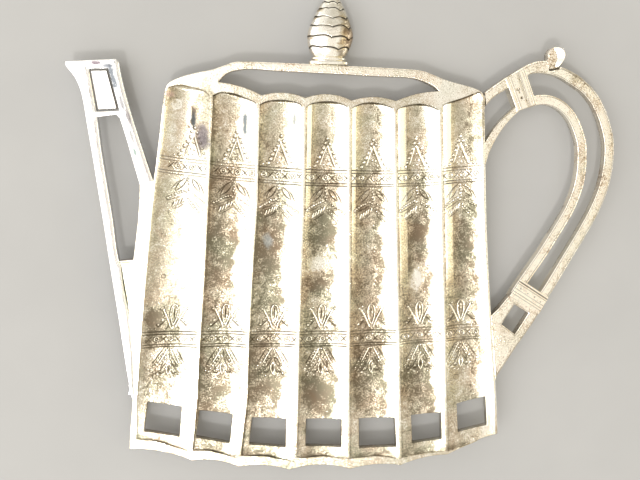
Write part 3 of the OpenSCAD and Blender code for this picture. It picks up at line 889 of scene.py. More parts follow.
def blot(px, py, rx, ry, s):
    """Adds a patch by its middle on the body, in design millimetres."""
    PATCH_TARNISH_AND_HIGHLIGHT.append((px, py, rx, ry, s))


for args in (
        (-2.0, 4.0, 6.2, 6.0, .34), (2.4, 3.0, 2.6, 5.0, .26), (-3.0, -2.0, 3.6, 4.0, .16), (-1.5, -21, 2.6, 3.0, .30),
        (-4.5, -12, 3.0, 5.0, -.30), (1.5, -11, 3.4, 2.6, -.34), (-3.2, -69, 4.6, 6.0, .24),
        (-45, -4, 5.0, 12, .10), (-42, -24, 3.4, 4.0, -.22), (-23, -10, 5.0, 9, .14),
        (-17, -5, 2.6, 8, -.25), (-22, 8, 2.4, 5, -.12), (42.6, 3, 3.0, 9, .24),
        (43, -15, 2.6, 4.2, -.42), (62, 0, 3.6, 11, .16), (-66, 4, 4, 9, .10),
        (-57.2, 51.5, 1.0, 4.2, .55), (-54.5, 43, 2.2, 6.0, .20), (-66, 60, 3.4, 2.6, .25),
        (-69, -43, 4.0, 5.0, .25), (-72, -56, 4, 5, .10), (-41, -68, 4, 6, .12),
        (24, 2, 3.4, 8, .10), (26, -70, 4.0, 4.0, .12), (47, -66, 5, 7, .10),
        (-20, -66, 5, 7, .12), (4.0, 45, 3.0, 6, -.08), (35.5, 36, 2.0, 8, .10),
        (-60, -10, 3.0, 12, .14), (-62, -24, 2.0, 6, .12), (62, -62, 6.5, 11, -.30),
        (41.5, -18.5, 3.0, 4.6, -.5), (38, -64, 4.0, 6.0, .16), (-74, -36, 2.6, 6, .16), (-3.0, -10.5, 3.4, 3.0, -.3), (-73, -38, 3.0, 7, .30),
        (-72, -72, 3.0, 9, .10), (40, -46, 4.5, 6, -.12),
        (-75.8, -39, 2.2, 9, .30), (-77.0, -68, 1.6, 9, .22), (-52.0, 51, 5.0, 13, .36),
        (65.0, 53, 3.6, 12, .34), (-45.5, -24, 5.0, 15, .10), (-0.5, -73, 5.0, 6, .12),
        (21.0, 50, 4.5, 12, .12)):
    blot(*args)


def body_tarnish_and_painted_light(u, v, depth, i):
    """Tarnish level on the body: the hollows hold more of it. It also carries painted light: keeping it to the left
    part of each trough is partly painted dark reflection, the band right of each left ridge and the extra at the zone's
    right edge in flutes 4 to 7 are painted dark reflection, and the cleaner strip on the left of flutes 4 to 7 is a
    painted highlight.
    """
    hollow = np.interp(v, [-92, -78, -62, -40, -28, 0, 18, 40, 62],
                       [.44, .64, .68, .60, .62, .66, .58, .42, .32])
    hollow = hollow * (0.60, 1.28, 1.14, 1.12, 0.92, 0.96, 0.86)[i]
    hollow = hollow + np.interp(v, [-84, -74, -58, -50], [0, 1, 1, 0]) * (.04, .02, .05, .05, .12, .14, 0)[i]
    if i == 0:
        hollow = hollow * np.interp(v, [-84, -68, -30, -20], [1.1, 1.5, 1.5, 1.0])
    t = hollow * np.clip(depth / 0.9, 0, 1) ** 0.8
    mid_u = (ARR[i](v) + ARR[i + 1](v)) / 2
    reach = np.interp(v, [-92, -70, -40, 0, 40, 60], [3.6, 3.2, 2.4, 2.0, 1.6, 1.2]) \
        + (-0.6, 0.7, 0.8, 2.4, 2.4, 2.2, 3.4)[i] + 0.9 * np.sin(0.21 * v + i) \
        + 0.6 * np.sin(0.57 * v + 2.1 * i) + 0.35 * np.sin(1.3 * v + 3.0 * i)
    if i == 0:
        reach = reach + np.interp(v, [-70, -62, -34, -24], [0, 3.0, 3.0, 0])
    if i == 6:
        reach = reach - np.interp(v, [-76, -64, -56], [2.0, 3.5, 0])
    # painted dark reflection: extra darkening near the right edge of the tarnished zone in flutes 4 to 7
    if i >= 3:
        t = t + (0, 0, 0, .10, .20, .12, .14)[i] * np.clip(depth / 0.6, 0, 1) \
            * np.exp(-((u - mid_u - reach + 1.6) / 1.7) ** 2)
    # right of reach the metal is kept clean, so each trough is tarnished on its left and bright on its right, partly as
    # painted reflection
    t = t * (1 - 0.75 * np.clip((u - mid_u - reach) / 1.6 + 0.5, 0, 1))
    rim = np.interp(v, [-100, -88, -70], [.26, .18, 0.0])
    t = t + rim * (1.3, 1.3, 1.6, 1.5, 1.2, 1.0, 1.0)[i] * np.clip(1 - depth / 0.9, 0, 1)
    rim = np.interp(abs(u), [40, 47], [0.24, 0.04]) * np.clip((v - 54) / 3, 0, 1)
    t = t + rim * np.clip(1 - depth / 0.5, 0, 1)
    # a dark band just right of each left ridge: tarnish and painted dark reflection
    xl = u - ARR[i](v)
    t = t + (.12, .4, .4, .34, .34, .34, .34)[i] * np.exp(-((xl - 0.8) / 0.6) ** 2) * (depth > 0.05)
    fl_ = np.interp(u, np.array(foot[i])[:, 0], np.array(foot[i])[:, 1])
    t = t + 0.32 * np.clip(1 - (v - fl_) / 4.0, 0, 1) * (v > fl_)
    # painted highlight: a cleaner strip on the left of flutes 4 to 7
    if i >= 3:
        wide = (0, 0, 0, 3.4, 3.2, 5.4, 5.4)[i]
        zone = np.interp(v, [-26, -12, 20, 34], [0.0, (0, 0, 0, 0, .3, .8, .8)[i], .8, 1.0])
        t = t - 0.60 * np.clip((wide - xl) / 0.35, 0, 1) * zone * (xl > 1.3) \
            * np.clip((depth - 0.1) / 0.4, 0, 1)
    wob = 1.6 * np.sin(u * 0.9 + 0.7 * np.sin(v * 0.5)) + 1.4 * np.sin(v * 0.8 + 1.1 * np.sin(u * 0.6))
    wob = wob + 0.8 * np.sin(u * 2.3 + 1.7 * np.sin(v * 1.3)) + 0.8 * np.sin(v * 2.1 + u * 0.7)
    for cu, cv, ru, rv, s in PATCH_TARNISH_AND_HIGHLIGHT:
        r = np.hypot((u - cu + 0.35 * wob) / ru, (v - cv + 0.4 * wob) / rv)
        t = t + s * np.clip((1.3 - r) / 0.5, 0, 1)
    return t


def stations(i):
    cl, crr = ARR[i], ARR[i + 1]
    W = win[i]

    def line_through(a, b):
        k = (b[1] - a[1]) / (b[0] - a[0])
        return lambda u: a[1] + k * (u - a[0])
    wt, wb = line_through(W[0], W[1]), line_through(W[3], W[2])
    return cl, crr, wt, wb


def body_strip(i):
    cl, crr, wt, wb = stations(i)
    W = win[i]
    mean_w = float(crr(-20.0) - cl(-20.0))
    step = 0.18
    edge = np.array([0, .09, .19, .31, .45, .6, .78, .96])
    n_mid = int((mean_w - 2.2) / step)
    s = np.concatenate([edge, np.linspace(1.12, mean_w - 1.12, n_mid),
                        (mean_w - edge)[::-1]]) / mean_w
    nc = len(s)
    # window columns
    v_top = (W[0][1] + W[1][1]) / 2
    v_bot = (W[2][1] + W[3][1]) / 2
    fl = ((W[0][0] - cl(W[0][1])) / (crr(W[0][1]) - cl(W[0][1]))
          + (W[3][0] - cl(W[3][1])) / (crr(W[3][1]) - cl(W[3][1]))) / 2
    fr = ((W[1][0] - cl(W[1][1])) / (crr(W[1][1]) - cl(W[1][1]))
          + (W[2][0] - cl(W[2][1])) / (crr(W[2][1]) - cl(W[2][1]))) / 2
    jl = int(np.argmin(abs(s - fl)))
    jr = int(np.argmin(abs(s - fr)))
    sl, sr = s[jl], s[jr]

    def win_u(side, v):
        a, b = (W[0], W[3]) if side == 0 else (W[1], W[2])
        return a[0] + (b[0] - a[0]) * (v - a[1]) / (b[1] - a[1])

    def u_of(sv, v):
        """u on the columns sv (broadcast) at heights v."""
        left, rightv = cl(v), crr(v)
        wdt = rightv - left
        b = np.clip((-64.0 - v) / (-64.0 - v_top), 0, 1)
        b = b * b * (3 - 2 * b)
        tl = (1 - b) * sl + b * (win_u(0, v) - left) / wdt
        tr = (1 - b) * sr + b * (win_u(1, v) - left) / wdt
        f = np.where(sv <= sl, sv / sl * tl,
                     np.where(sv <= sr, tl + (sv - sl) / (sr - sl) * (tr - tl),
                              tr + (sv - sr) / (1 - sr) * (1 - tr)))
        return left + wdt * f

    def solve(fn, guess):
        v = np.full(nc, float(guess))
        for _ in range(12):
            v = 0.35 * v + 0.65 * fn(u_of(s, v))
        return v

    levels = [
        (solve(BASEV, -100), None),
        (solve(wb, v_bot), ("fine", 0.22)),
        (solve(wt, v_top), ("win", 0.9)),
        (solve(lambda u: LOV(u) - 25.02, -66), ("after", 0.5)),
        (solve(lambda u: LOV(u) + 12.96, -28), ("step", 0.18)),
        (solve(lambda u: UPV(u) - 23.04, 8), ("coarse", 1.0)),
        (solve(lambda u: UPV(u) + 14.22, 45), ("step", 0.18)),
        (solve(lambda u: np.full_like(u, 53.0 if i not in (0,) else 55.0), 53), ("coarse", 0.6)),
        (solve(TOPV, 62), ("fine", 0.22)),
    ]
    rows = [levels[0][0]]
    r_win = None
    for k in range(1, len(levels)):
        v0, v1 = levels[k - 1][0], levels[k][0]
        kind, st = levels[k][1]
        span = float(np.median(v1 - v0))
        if kind == "step":
            n = int(round(span / st))
            tt = np.arange(1, n + 1) / n
        elif kind == "win":
            n = max(6, int(span / st))
            tt = np.arange(1, n + 1) / n
            r_win = (len(rows) - 1, len(rows) - 1 + n)
        elif kind == "after":
            first = np.array([.12, .25, .4, .6, .85]) / span
            n = max(4, int((span - .85) / st))
            tt = np.concatenate([first, .85 / span + (1 - .85 / span) * np.arange(1, n + 1) / n])
        elif kind == "fine":
            n = max(8, int(span / st))
            tt = np.arange(1, n + 1) / n
            if k == 1:
                e = np.array([.1, .22, .36]) / span
                f = 1 - np.array([.36, .22, .1]) / span
            else:
                e = np.array([])
                f = 1 - np.array([.36, .22, .1]) / span
            tt = np.unique(np.concatenate([tt, e, f]))
        else:
            n = max(3, int(span / st))
            tt = np.arange(1, n + 1) / n
        for t in tt:
            rows.append(v0 + (v1 - v0) * t)
    V = np.array(rows)
    nr = len(V)
    U = u_of(s[None, :], V)
    # exact window lines
    u, v = U.ravel(), V.ravel()
    P = np.column_stack([u, v])
    # trough
    pl, pr = TROUGH_PAD[i]
    padl = np.full_like(u, pl)
    padr = np.full_like(u, pr)
    if i == 0:
        padl = np.interp(v, [-90, 10, 24, 34], [0.75, 0.75, 1.0, 1.15])
    L, R_ = cl(v) + padl, crr(v) - padr
    wc = R_ - L
    x = u - (L + R_) / 2
    rad = (wc * wc / 4 + DEPTH ** 2) / (2 * DEPTH)
    tr = np.sqrt(np.maximum(rad * rad - x * x, 0)) - (rad - DEPTH)
    if i < 3:
        low = DEPTH - (0.93, 0.74, 0.74)[i] * (DEPTH - tr)
        tr = np.where(x < 0, smin(low, (0.8, 1.25, 1.25)[i] * np.clip(u - L, 0, None), 0.12), tr)
    fade = np.clip((-60.0 - v) / 26.0, 0, 1)
    fade = fade * fade * (3 - 2 * fade)
    tr = np.clip(tr, 0, None) * (1 - (0.62 if i > 3 else 0.55) * fade)
    hd, ft = np.array(head[i]), np.array(foot[i])
    hd = smooth(hd, 4)
    d_top = np.interp(u, hd[:, 0], hd[:, 1]) - v
    d_bot = v - np.interp(u, ft[:, 0], ft[:, 1])
    # slope of the arcs shortens the true distance
    st_ = np.gradient(np.interp(np.linspace(-90, 90, 1801), hd[:, 0], hd[:, 1]), 0.1)
    sl_t = np.interp(u, np.linspace(-90, 90, 1801), st_)
    d_top = d_top / np.sqrt(1 + sl_t ** 2)

    def wall(d, run):
        t = np.clip(d / run, 0, 1)
        return 2.75 * np.sqrt(np.clip(1 - (1 - t) ** 2, 0, 1))
    run_t = 1.6
    if i == 0:
        run_t = np.interp(u, [-68, -64, -58, -54], [6.0, 5.0, 2.4, 1.6])
    if i == 6:
        run_t = np.interp(u, [50, 60, 66], [1.4, 1.8, 3.5])
    w_top = wall(d_top, run_t)
    w_bot = wall(d_bot, (1.2, 1.2, 1.3, 1.6, 2.8, 4.2, 4.2)[i])
    dep = smin(tr, np.minimum(w_top, w_bot), 0.35)
    dep = np.where((tr <= 1e-6) | (d_top <= 0) | (d_bot <= 0), 0, np.clip(dep, 0, None))
    z = ZT - dep
    # engraving
    jit = np.random.default_rng(100 + i)
    D = np.zeros_like(z)
    C = np.zeros_like(z)
    B = np.zeros_like(z)
    slope = (UP_C[i] - LO_C[i]) / (29.4 + 44.4)
    for which, fn, c0, vref, build in (("up", UPV, UP_C[i], 29.4, upper_motif),
                                       ("lo", LOV, LO_C[i], -44.4, lower_motif)):
        yl = v - fn(u)
        xl = u - (c0 + slope * (v - vref))
        m = np.flatnonzero((yl < 14.4) & (yl > -25.2))
        half = mean_w / 2
        wear = 1.0
        E = build(float(jit.uniform(-1.2, 1.2)), half)
        dm, cm, bm = carve(xl[m], yl[m], E, jit, wear)
        D[m] = np.maximum(D[m], dm)
        C[m] = np.maximum(C[m], cm)
        B[m] = np.maximum(B[m], bm)
    inside = np.clip(np.minimum(u - L, R_ - u) / 0.5, 0, 1)
    cut = D * inside
    z = z - np.where(dep > 0.02, cut, cut * 0.7)
    z = z + waves(u, v) * np.clip(dep, 0.25, 1)
    # rounded outer edges and window edges
    d_edge = np.minimum(top_dist(P), line_dist(P, base_line))
    if i == 0:
        d_edge = np.minimum(d_edge, np.where(v > 24.0, line_dist(P, outline_l), 9.0))
    if i == 6:
        d_edge = np.minimum(d_edge, line_dist(P, outline_r))
    loopw = np.array(W + [W[0]])
    d_win = line_dist(P, loopw)

    def roundover(d, r):
        t = np.clip(d / r, 0, 1)
        return r * (1 - np.sqrt(np.clip(1 - (1 - t) ** 2, 0, 1)))
    z = z - roundover(d_edge, 0.42)
    z = z - roundover(d_win, 0.26)
    z = np.clip(z, Z0 + 0.7, ZT)
    tarn_and_painted_light = body_tarnish_and_painted_light(u, v, dep, i)
    # engraved grooves hold dark tarnish, with painted shade on the lower left of each bead; a painted shadow lies along
    # the top end of each trough, strongest mid-flute, and a dark line runs along its lower end
    cav_dirt_and_shade = C * inside * (0.95, 1.0, 1.0, 0.95, 0.82, 0.80, 0.78)[i]
    tarn_and_painted_light = tarn_and_painted_light - 0.85 * np.clip(tarn_and_painted_light, 0, 1) * B * inside
    top_shadow_weight = 0.55 + 0.6 * np.sin((u - cl(v)) / mean_w * math.pi) ** 2
    top_end_shadow = np.exp(-((d_top - 0.12) / 0.26) ** 2) * top_shadow_weight * (0.3 if i == 0 else 1.0)
    foot_c = np.exp(-((d_bot - 0.15) / 0.4) ** 2) * (.45, .5, .5, .35, .2, .12, .12)[i]
    cav_dirt_and_shade = np.maximum(cav_dirt_and_shade, np.where(tr > 0.25, top_end_shadow + foot_c, 0))
    # quads
    keep = np.ones((nr - 1, nc - 1), bool)
    keep[r_win[0]:r_win[1], jl:jr] = False
    top = np.column_stack([u, v, z])
    quads = grid_quads(nr, nc, keep)
    used = np.zeros(nr * nc, bool)
    used[quads.ravel()] = True
    remap = np.cumsum(used) - 1
    top = top[used]
    tarn_and_painted_light, cav_dirt_and_shade = tarn_and_painted_light[used], cav_dirt_and_shade[used]
    quads = remap[quads]
    nt_ = len(top)

    def ridx(r, c):
        return remap[r * nc + c]
    outer = ([ridx(0, c) for c in range(nc)] + [ridx(r, nc - 1) for r in range(1, nr)]
             + [ridx(nr - 1, c) for c in range(nc - 2, -1, -1)]
             + [ridx(r, 0) for r in range(nr - 2, 0, -1)])
    a, b = r_win
    hole = ([ridx(a, c) for c in range(jl, jr + 1)] + [ridx(r, jr) for r in range(a + 1, b + 1)]
            + [ridx(b, c) for c in range(jr - 1, jl - 1, -1)]
            + [ridx(r, jl) for r in range(b - 1, a, -1)])
    hole = hole[::-1]
    verts, qs, polys = [top], [quads], []
    base = nt_
    caps, cap_idx = [], []
    for lp, is_hole in ((outer, False), (hole, True)):
        lp = np.array(lp)
        xy = top[lp][:, :2]
        n = len(lp)
        wv = np.full(n, 0.22)
        if not is_hole:
            mid = (xy + np.roll(xy, -1, 0)) / 2
            de = np.minimum(top_dist(mid), line_dist(mid, base_line))
            if i == 0:
                de = np.minimum(de, np.where(mid[:, 1] > 24.4, line_dist(mid, outline_l), 9))
            if i == 6:
                de = np.minimum(de, line_dist(mid, outline_r))
            wv = np.where(de < 0.06, 0.22, 0.0)
        r1 = np.column_stack([xy, np.full(n, Z0 + 0.22)])
        r0 = np.column_stack([inset_loop(xy, wv), np.full(n, Z0)])
        ii = np.arange(n)
        jj = (ii + 1) % n
        qs.append(np.column_stack([base + ii, base + jj, lp[jj], lp[ii]]))
        qs.append(np.column_stack([base + n + ii, base + n + jj, base + jj, base + ii]))
        verts += [r1, r0]
        caps.append([Vector((p[0], p[1], 0)) for p in r0])
        cap_idx += list(range(base + n, base + 2 * n))
        base += 2 * n
    Vall = np.vstack(verts)
    for t in tessellate_polygon(caps):
        a_, b_, c_ = (cap_idx[k] for k in t)
        pa, pb, pc = Vall[a_], Vall[b_], Vall[c_]
        ar = (pb[0] - pa[0]) * (pc[1] - pa[1]) - (pb[1] - pa[1]) * (pc[0] - pa[0])
        if ar > 0:
            a_, b_ = b_, a_
        polys.append((a_, b_, c_))
    n_ex = len(Vall) - nt_
    attrs = {"tarn_and_painted_light": np.concatenate([tarn_and_painted_light, np.full(n_ex, 0.2)]),
             "cav_dirt_and_shade": np.concatenate([cav_dirt_and_shade, np.zeros(n_ex)])}
    ob = mesh_object(f"flute_{i + 1}", Vall, np.vstack(qs), polys, "body",
                     "silver_body", ("body_plate",), attrs, sharp=48.0)
    # left boundary below the notch, for the stile of strip 1
    left = top[[ridx(r, 0) for r in range(nr)]]
    return ob, left


strips = []
left_edge = None
for i in range(7):
    ob, left = body_strip(i)
    strips.append(ob)
    if i == 0:
        left_edge = left

# flat stile along the spout side of the first flute
lb = left_edge[left_edge[:, 1] <= 24.5][:, :2]
low_bow = bow(base_cusps[0], base_cusps[1], base_bow[0], 40)
low_bow = low_bow[low_bow[:, 0] < lb[0, 0] - 0.02]
stile = np.vstack([low_bow, lb, [[-73.3, 24.5]], np.array(side_l), np.array(seam_l),
                   np.array(heel_l)[:-1]])


def stile_piece():
    lp = clean_loop(stile)
    if area2(lp) < 0:
        lp = lp[::-1]
    n = len(lp)
    mid = (lp + np.roll(lp, -1, 0)) / 2
    seam = (abs(mid[:, 0] - ARR[0](mid[:, 1])) < 0.05) & (mid[:, 1] < 24.6)
    seam |= line_dist(mid, seam_spout) < 0.06
    w = np.where(seam, 0.0, 0.42)
    wb_ = np.where(seam, 0.0, 0.22)
    rings = [(inset_loop(lp, wb_), Z0), (lp, Z0 + 0.22), (lp, ZT - 0.42)]
    for k in range(1, 5):
        a = k / 4 * math.pi / 2
        rings.append((inset_loop(lp, w * (1 - math.cos(a))), ZT - 0.42 * (1 - math.sin(a))))
    V = np.vstack([np.column_stack([xy, np.full(n, z)]) for xy, z in rings])
    q = []
    for r in range(1, len(rings)):
        a0 = (r - 1) * n
        ii = np.arange(n)
        jj = (ii + 1) % n
        q.append(np.column_stack([a0 + ii, a0 + jj, a0 + n + jj, a0 + n + ii]))
    polys = []
    for start, xy, flip in (((len(rings) - 1) * n, rings[-1][0], False), (0, rings[0][0], True)):
        for t in tessellate_polygon([[Vector((p[0], p[1], 0)) for p in xy]]):
            a_, b_, c_ = (start + k for k in t)
            pa, pb, pc = V[a_], V[b_], V[c_]
            ar = (pb[0] - pa[0]) * (pc[1] - pa[1]) - (pb[1] - pa[1]) * (pc[0] - pa[0])
            if (ar < 0) != flip:
                a_, b_ = b_, a_
            polys.append((a_, b_, c_))
    return mesh_object("body_stile", V, np.vstack(q), polys, "body", "silver_body",
                       ("body_plate",), {"tarn_and_painted_light": np.full(len(V), 0.08)}, sharp=48.0)


stile_piece()

# ------------------------------------------------------------------- spout
bar_out = [[-107.9, 72.5], [-107.7, 70.6], [-104.6, 66.6], [-102.5, 62], [-101.2, 56.4],
           [-99.9, 47], [-98.4, 37], [-97, 27], [-94.2, 7], [-91.6, -13], [-88.6, -34.5],
           [-85.8, -56], [-84.3, -66], [-83.3, -71.5]]
spout_r = [[-73.3, 24.5], [-77.5, 37.5], [-81.9, 52], [-84.6, 62], [-86.2, 69.5],
           [-86.7, 73.0], [-88.0, 74.1]]
spout = np.vstack([smooth(bar_out, 3), [[-82.6, -66], [-82.8, -50], [-84.2, -33.5],
                  [-85.7, -24], [-87, -12], [-88, -9.6], [-89.1, -3], [-90.1, 7],
                  [-91.5, 17], [-93, 27], [-94.4, 37], [-95.8, 50.3], [-88, 51.6],
                  [-86.6, 50], [-84.2, 42], [-81.5, 32], [-79, 23]], smooth(spout_r, 3)])
inset = [[-98.1, 69.6], [-91.2, 70], [-87.3, 53.6], [-96, 53]]


inset_vis = [[-98.5, 69.8], [-91.0, 70.1], [-86.8, 53.3], [-95.9, 52.7]]


def spout_w(nrm, bev):
    """Edges that face right are eased over a wider strip."""
    return bev + 0.95 * np.clip((nrm[0] - 0.35) / 0.4, 0, 1)


prism("spout_frame_skin", spout, Z0, ZT, holes=[inset_vis], bev=0.40, edge_w=spout_w,
      mat="spout", slot="silver_spout", replaces=("spout_frame",), dens=2.5,
      flush=[seam_spout])


def quad_block(name, corners, z0, z1, fn=None, nu=40, nv=40, bev=0.3, mat="bars",
               slot=None, replaces=(), clean=0.0):
    """Four-sided block with a worked top. corners: TL, TR, BR, BL."""
    TL, TR, BR, BL = (np.array(c, float) for c in corners)
    lu = (np.hypot(*(TR - TL)) + np.hypot(*(BR - BL))) / 2
    lv = (np.hypot(*(BL - TL)) + np.hypot(*(BR - TR))) / 2

    def axis(n, length):
        e = np.array([0, .25, .5, .75, 1.0]) * bev / length
        return np.unique(np.concatenate([e, np.linspace(bev / length, 1 - bev / length, n), 1 - e]))
    a, b = axis(nu, lu), axis(nv, lv)
    A, B = np.meshgrid(a, b)
    A3, B3 = A[..., None], B[..., None]
    P = (TL * (1 - A3) * (1 - B3) + TR * A3 * (1 - B3) + BR * A3 * B3 + BL * (1 - A3) * B3)
    x, y = A * lu, B * lv
    dd = np.minimum(np.minimum(x, lu - x), np.minimum(y, lv - y))
    t = np.clip(dd / bev, 0, 1)
    z = z1 - bev * (1 - np.sqrt(np.clip(1 - (1 - t) ** 2, 0, 1)))
    cav_dirt_and_shade = np.zeros_like(z)
    if fn is not None:
        dz, cav_dirt_and_shade = fn(x, y, lu, lv)
        z = z + dz
    nr, nc = A.shape
    top = np.column_stack([P.reshape(-1, 2), z.ravel()])
    quads = grid_quads(nr, nc)[:, ::-1]
    outer = ([c for c in range(nc)] + [r * nc + nc - 1 for r in range(1, nr)]
             + [(nr - 1) * nc + c for c in range(nc - 2, -1, -1)]
             + [r * nc for r in range(nr - 2, 0, -1)])
    outer = np.array(outer)
    n = len(outer)
    bot = top[outer].copy()
    bot[:, 2] = z0
    ii = np.arange(n)
    jj = (ii + 1) % n
    k = len(top)
    side = np.column_stack([outer[ii], outer[jj], k + jj, k + ii])
    V = np.vstack([top, bot])
    attrs = {"cav_dirt_and_shade": np.concatenate([cav_dirt_and_shade.ravel(), np.zeros(n)]), "tarn_and_painted_light": np.full(len(V), clean)}
    ob = mesh_object(name, V, np.vstack([quads, side]), [list(range(k, k + n))],
                     mat, slot, replaces, attrs, sharp=50.0)
    fix_normals(ob)
    return ob


def panel_fn(x, y, lu, lv):
    d = np.minimum(np.minimum(x, lu - x), np.minimum(y, lv - y))
    # a dark groove ring, and dirt with painted shade in the crease along the panel's border
    dz = -0.10 * np.exp(-((d - 0.9) / 0.25) ** 2)
    return dz, np.maximum(0.25 * np.exp(-((d - 0.9) / 0.3) ** 2), 0.95 * np.exp(-(d / 0.34) ** 2))


quad_block("spout_inset_panel", [[-98.0, 69.2], [-91.5, 69.5], [-87.6, 54.0], [-95.4, 53.4]],
           ZT - 1.2, ZT - 0.05, panel_fn, nu=24, nv=40, bev=0.3, mat="spout",
           slot="silver_spout", replaces=("spout_panel",))

# --------------------------------------------------------------- lid arch
lid_top = [[-48.5, 71.2], [-43.5, 73.1], [-40, 74.4], [-35, 74.8], [-22, 74.8], [-8, 74.7],
           [8, 74.4], [22, 74.2], [33, 73.9], [38, 73.7], [42, 73], [46, 71.6], [49.3, 70.4]]
lid_low = [[48, 65], [45.5, 67], [42, 68.6], [38, 69.8], [33, 70.4], [22, 70.5], [8, 70.8],
           [-8, 71.1], [-22, 71.4], [-33, 71.8], [-39, 71], [-43, 69.5], [-46.3, 66.1]]
prism("lid_arch_skin", np.vstack([smooth(lid_top, 4), smooth(lid_low, 4)]), Z0, ZT,
      bev=0.5, mat="bars", slot="silver_bars", replaces=("lid_arch",),
      flush=[seam_lid_l, seam_lid_r], dens=3.0)

# ------------------------------------------------------------------ handle
top_c = [[68.7, 63.4], [75.5, 68.4], [82.3, 73], [88.8, 76.1], [95, 77.4], [99, 77.8]]
outer_c = [[98.2, 75.1], [101.5, 75.1], [105.5, 73.9], [110.3, 71.3], [115, 67.6], [119.2, 62.9],
           [122.7, 57], [125.2, 51], [126.9, 45], [127.4, 38.5], [127.1, 32], [126.1, 25.5],
           [124.2, 19], [121.5, 12.5], [118.3, 6], [115.1, 0], [112, -5.5], [109, -11],
           [106, -16.5], [102.9, -22], [99.4, -27.6]]
inner_c = [[70.2, 40.4], [74.4, 47.8], [78.5, 53.4], [84, 58.6], [89.8, 61.8], [95.5, 62.8],
           [100.6, 61.8], [105.4, 59], [109.4, 54.6], [112.3, 49], [114.2, 43.5], [114.8, 37],
           [114.8, 31], [114, 25], [112.3, 19], [109.8, 13], [106.5, 7], [103.1, 1],
           [99.6, -5], [96.1, -10.5], [92.5, -16], [89, -21.4], [87.2, -24.4]]


def edges_of(centre, width, n=6):
    p = smooth(centre, n)
    o = offsets(p) * width / 2
    return p + o, p - o


def strap2(name, left, rightp, z0, z1, step=0.7, dip=None, wide_a=0.75, wide_b=0.22,
           clean=-0.16, spots=(), **kw):
    """Strap between two drawn edges, with eased upper edges and a flat top."""
    def even(p, n):
        d = np.hypot(*np.diff(p, axis=0).T)
        q = np.concatenate([[0], np.cumsum(d)])
        t = np.linspace(0, q[-1], n)
        return np.column_stack([np.interp(t, q, p[:, 0]), np.interp(t, q, p[:, 1])])
    L = np.hypot(*np.diff(left, axis=0).T).sum()
    n = max(8, int(L / step))
    a, b = even(np.asarray(left), n), even(np.asarray(rightp), n)
    h = z1 - z0
    w = np.hypot(*(b - a).T)

    # the third value darkens a line just inside each eased edge: dirt and painted shade
    def flank(wd):
        dr = 0.12 + 0.37 * wd
        return [(0, 0.25, 0), (0, h - dr - 0.1, 0), (0.03, h - dr, 0),
                (0.08, h - dr + 0.05, 0), (0.06 + 0.94 * wd, h - 0.06, 0),
                (0.1 + wd, h, 0.55), (0.26 + wd, h - 0.015, 0.45), (0.45 + wd, h, 0)]
    us, zs, cs = [], [], []
    for off, z, c in flank(wide_a):
        us.append(np.full(n, off) / w)
        zs.append(z)
        cs.append(c)
    for f in (0.5,):
        us.append(np.full(n, f) + 0.5 * (wide_a - wide_b) / w)
        zs.append(h + 0.010)
        cs.append(0)
    for off, z, c in flank(wide_b)[::-1]:
        us.append(1 - np.full(n, off) / w)
        zs.append(z)
        cs.append(c)
    us.append(1 - 0.2 / w)
    zs.append(0.0)
    us.append(0.2 / w)
    zs.append(0.0)
    cs += [0, 0]
    U = np.array(us).T
    Z = np.array(zs)
    m = len(Z)
    V = np.empty((n, m, 3))
    V[:, :, :2] = a[:, None, :] + (b - a)[:, None, :] * U[:, :, None]
    V[:, :, 2] = z0 + Z[None, :]
    if dip is not None:
        V[:, :, 2] -= dip(np.linspace(0, 1, n))[:, None] * (Z > 1.0)[None, :]
    V = V.reshape(-1, 3)
    i, j = np.meshgrid(np.arange(n - 1), np.arange(m), indexing="ij")
    jj = (j + 1) % m
    q = np.stack([i * m + j, i * m + jj, (i + 1) * m + jj, (i + 1) * m + j], -1).reshape(-1, 4)
    fade = np.clip(np.minimum(np.arange(n), np.arange(n)[::-1]) / 3.0, 0, 1)
    cav_dirt_and_shade = (np.array(cs)[None, :] * fade[:, None]).ravel()
    tarn_and_painted_light = np.full(len(V), clean)
    for px, py, rx, ry, amount in spots:
        r = np.hypot((V[:, 0] - px) / rx, (V[:, 1] - py) / ry)
        tarn_and_painted_light = tarn_and_painted_light + amount * np.clip((1.3 - r) / 0.6, 0, 1)
    ob = mesh_object(name, V, q, [list(range(m))[::-1], [(n - 1) * m + k for k in range(m)]],
                     attrs={"cav_dirt_and_shade": cav_dirt_and_shade, "tarn_and_painted_light": tarn_and_painted_light}, **kw)
    fix_normals(ob)
    return ob


out_a, out_b = edges_of(outer_c, 4.5)
in_a, in_b = edges_of(inner_c, 4.3)


def after(p, test):
    return p[[bool(test(q)) for q in p]]


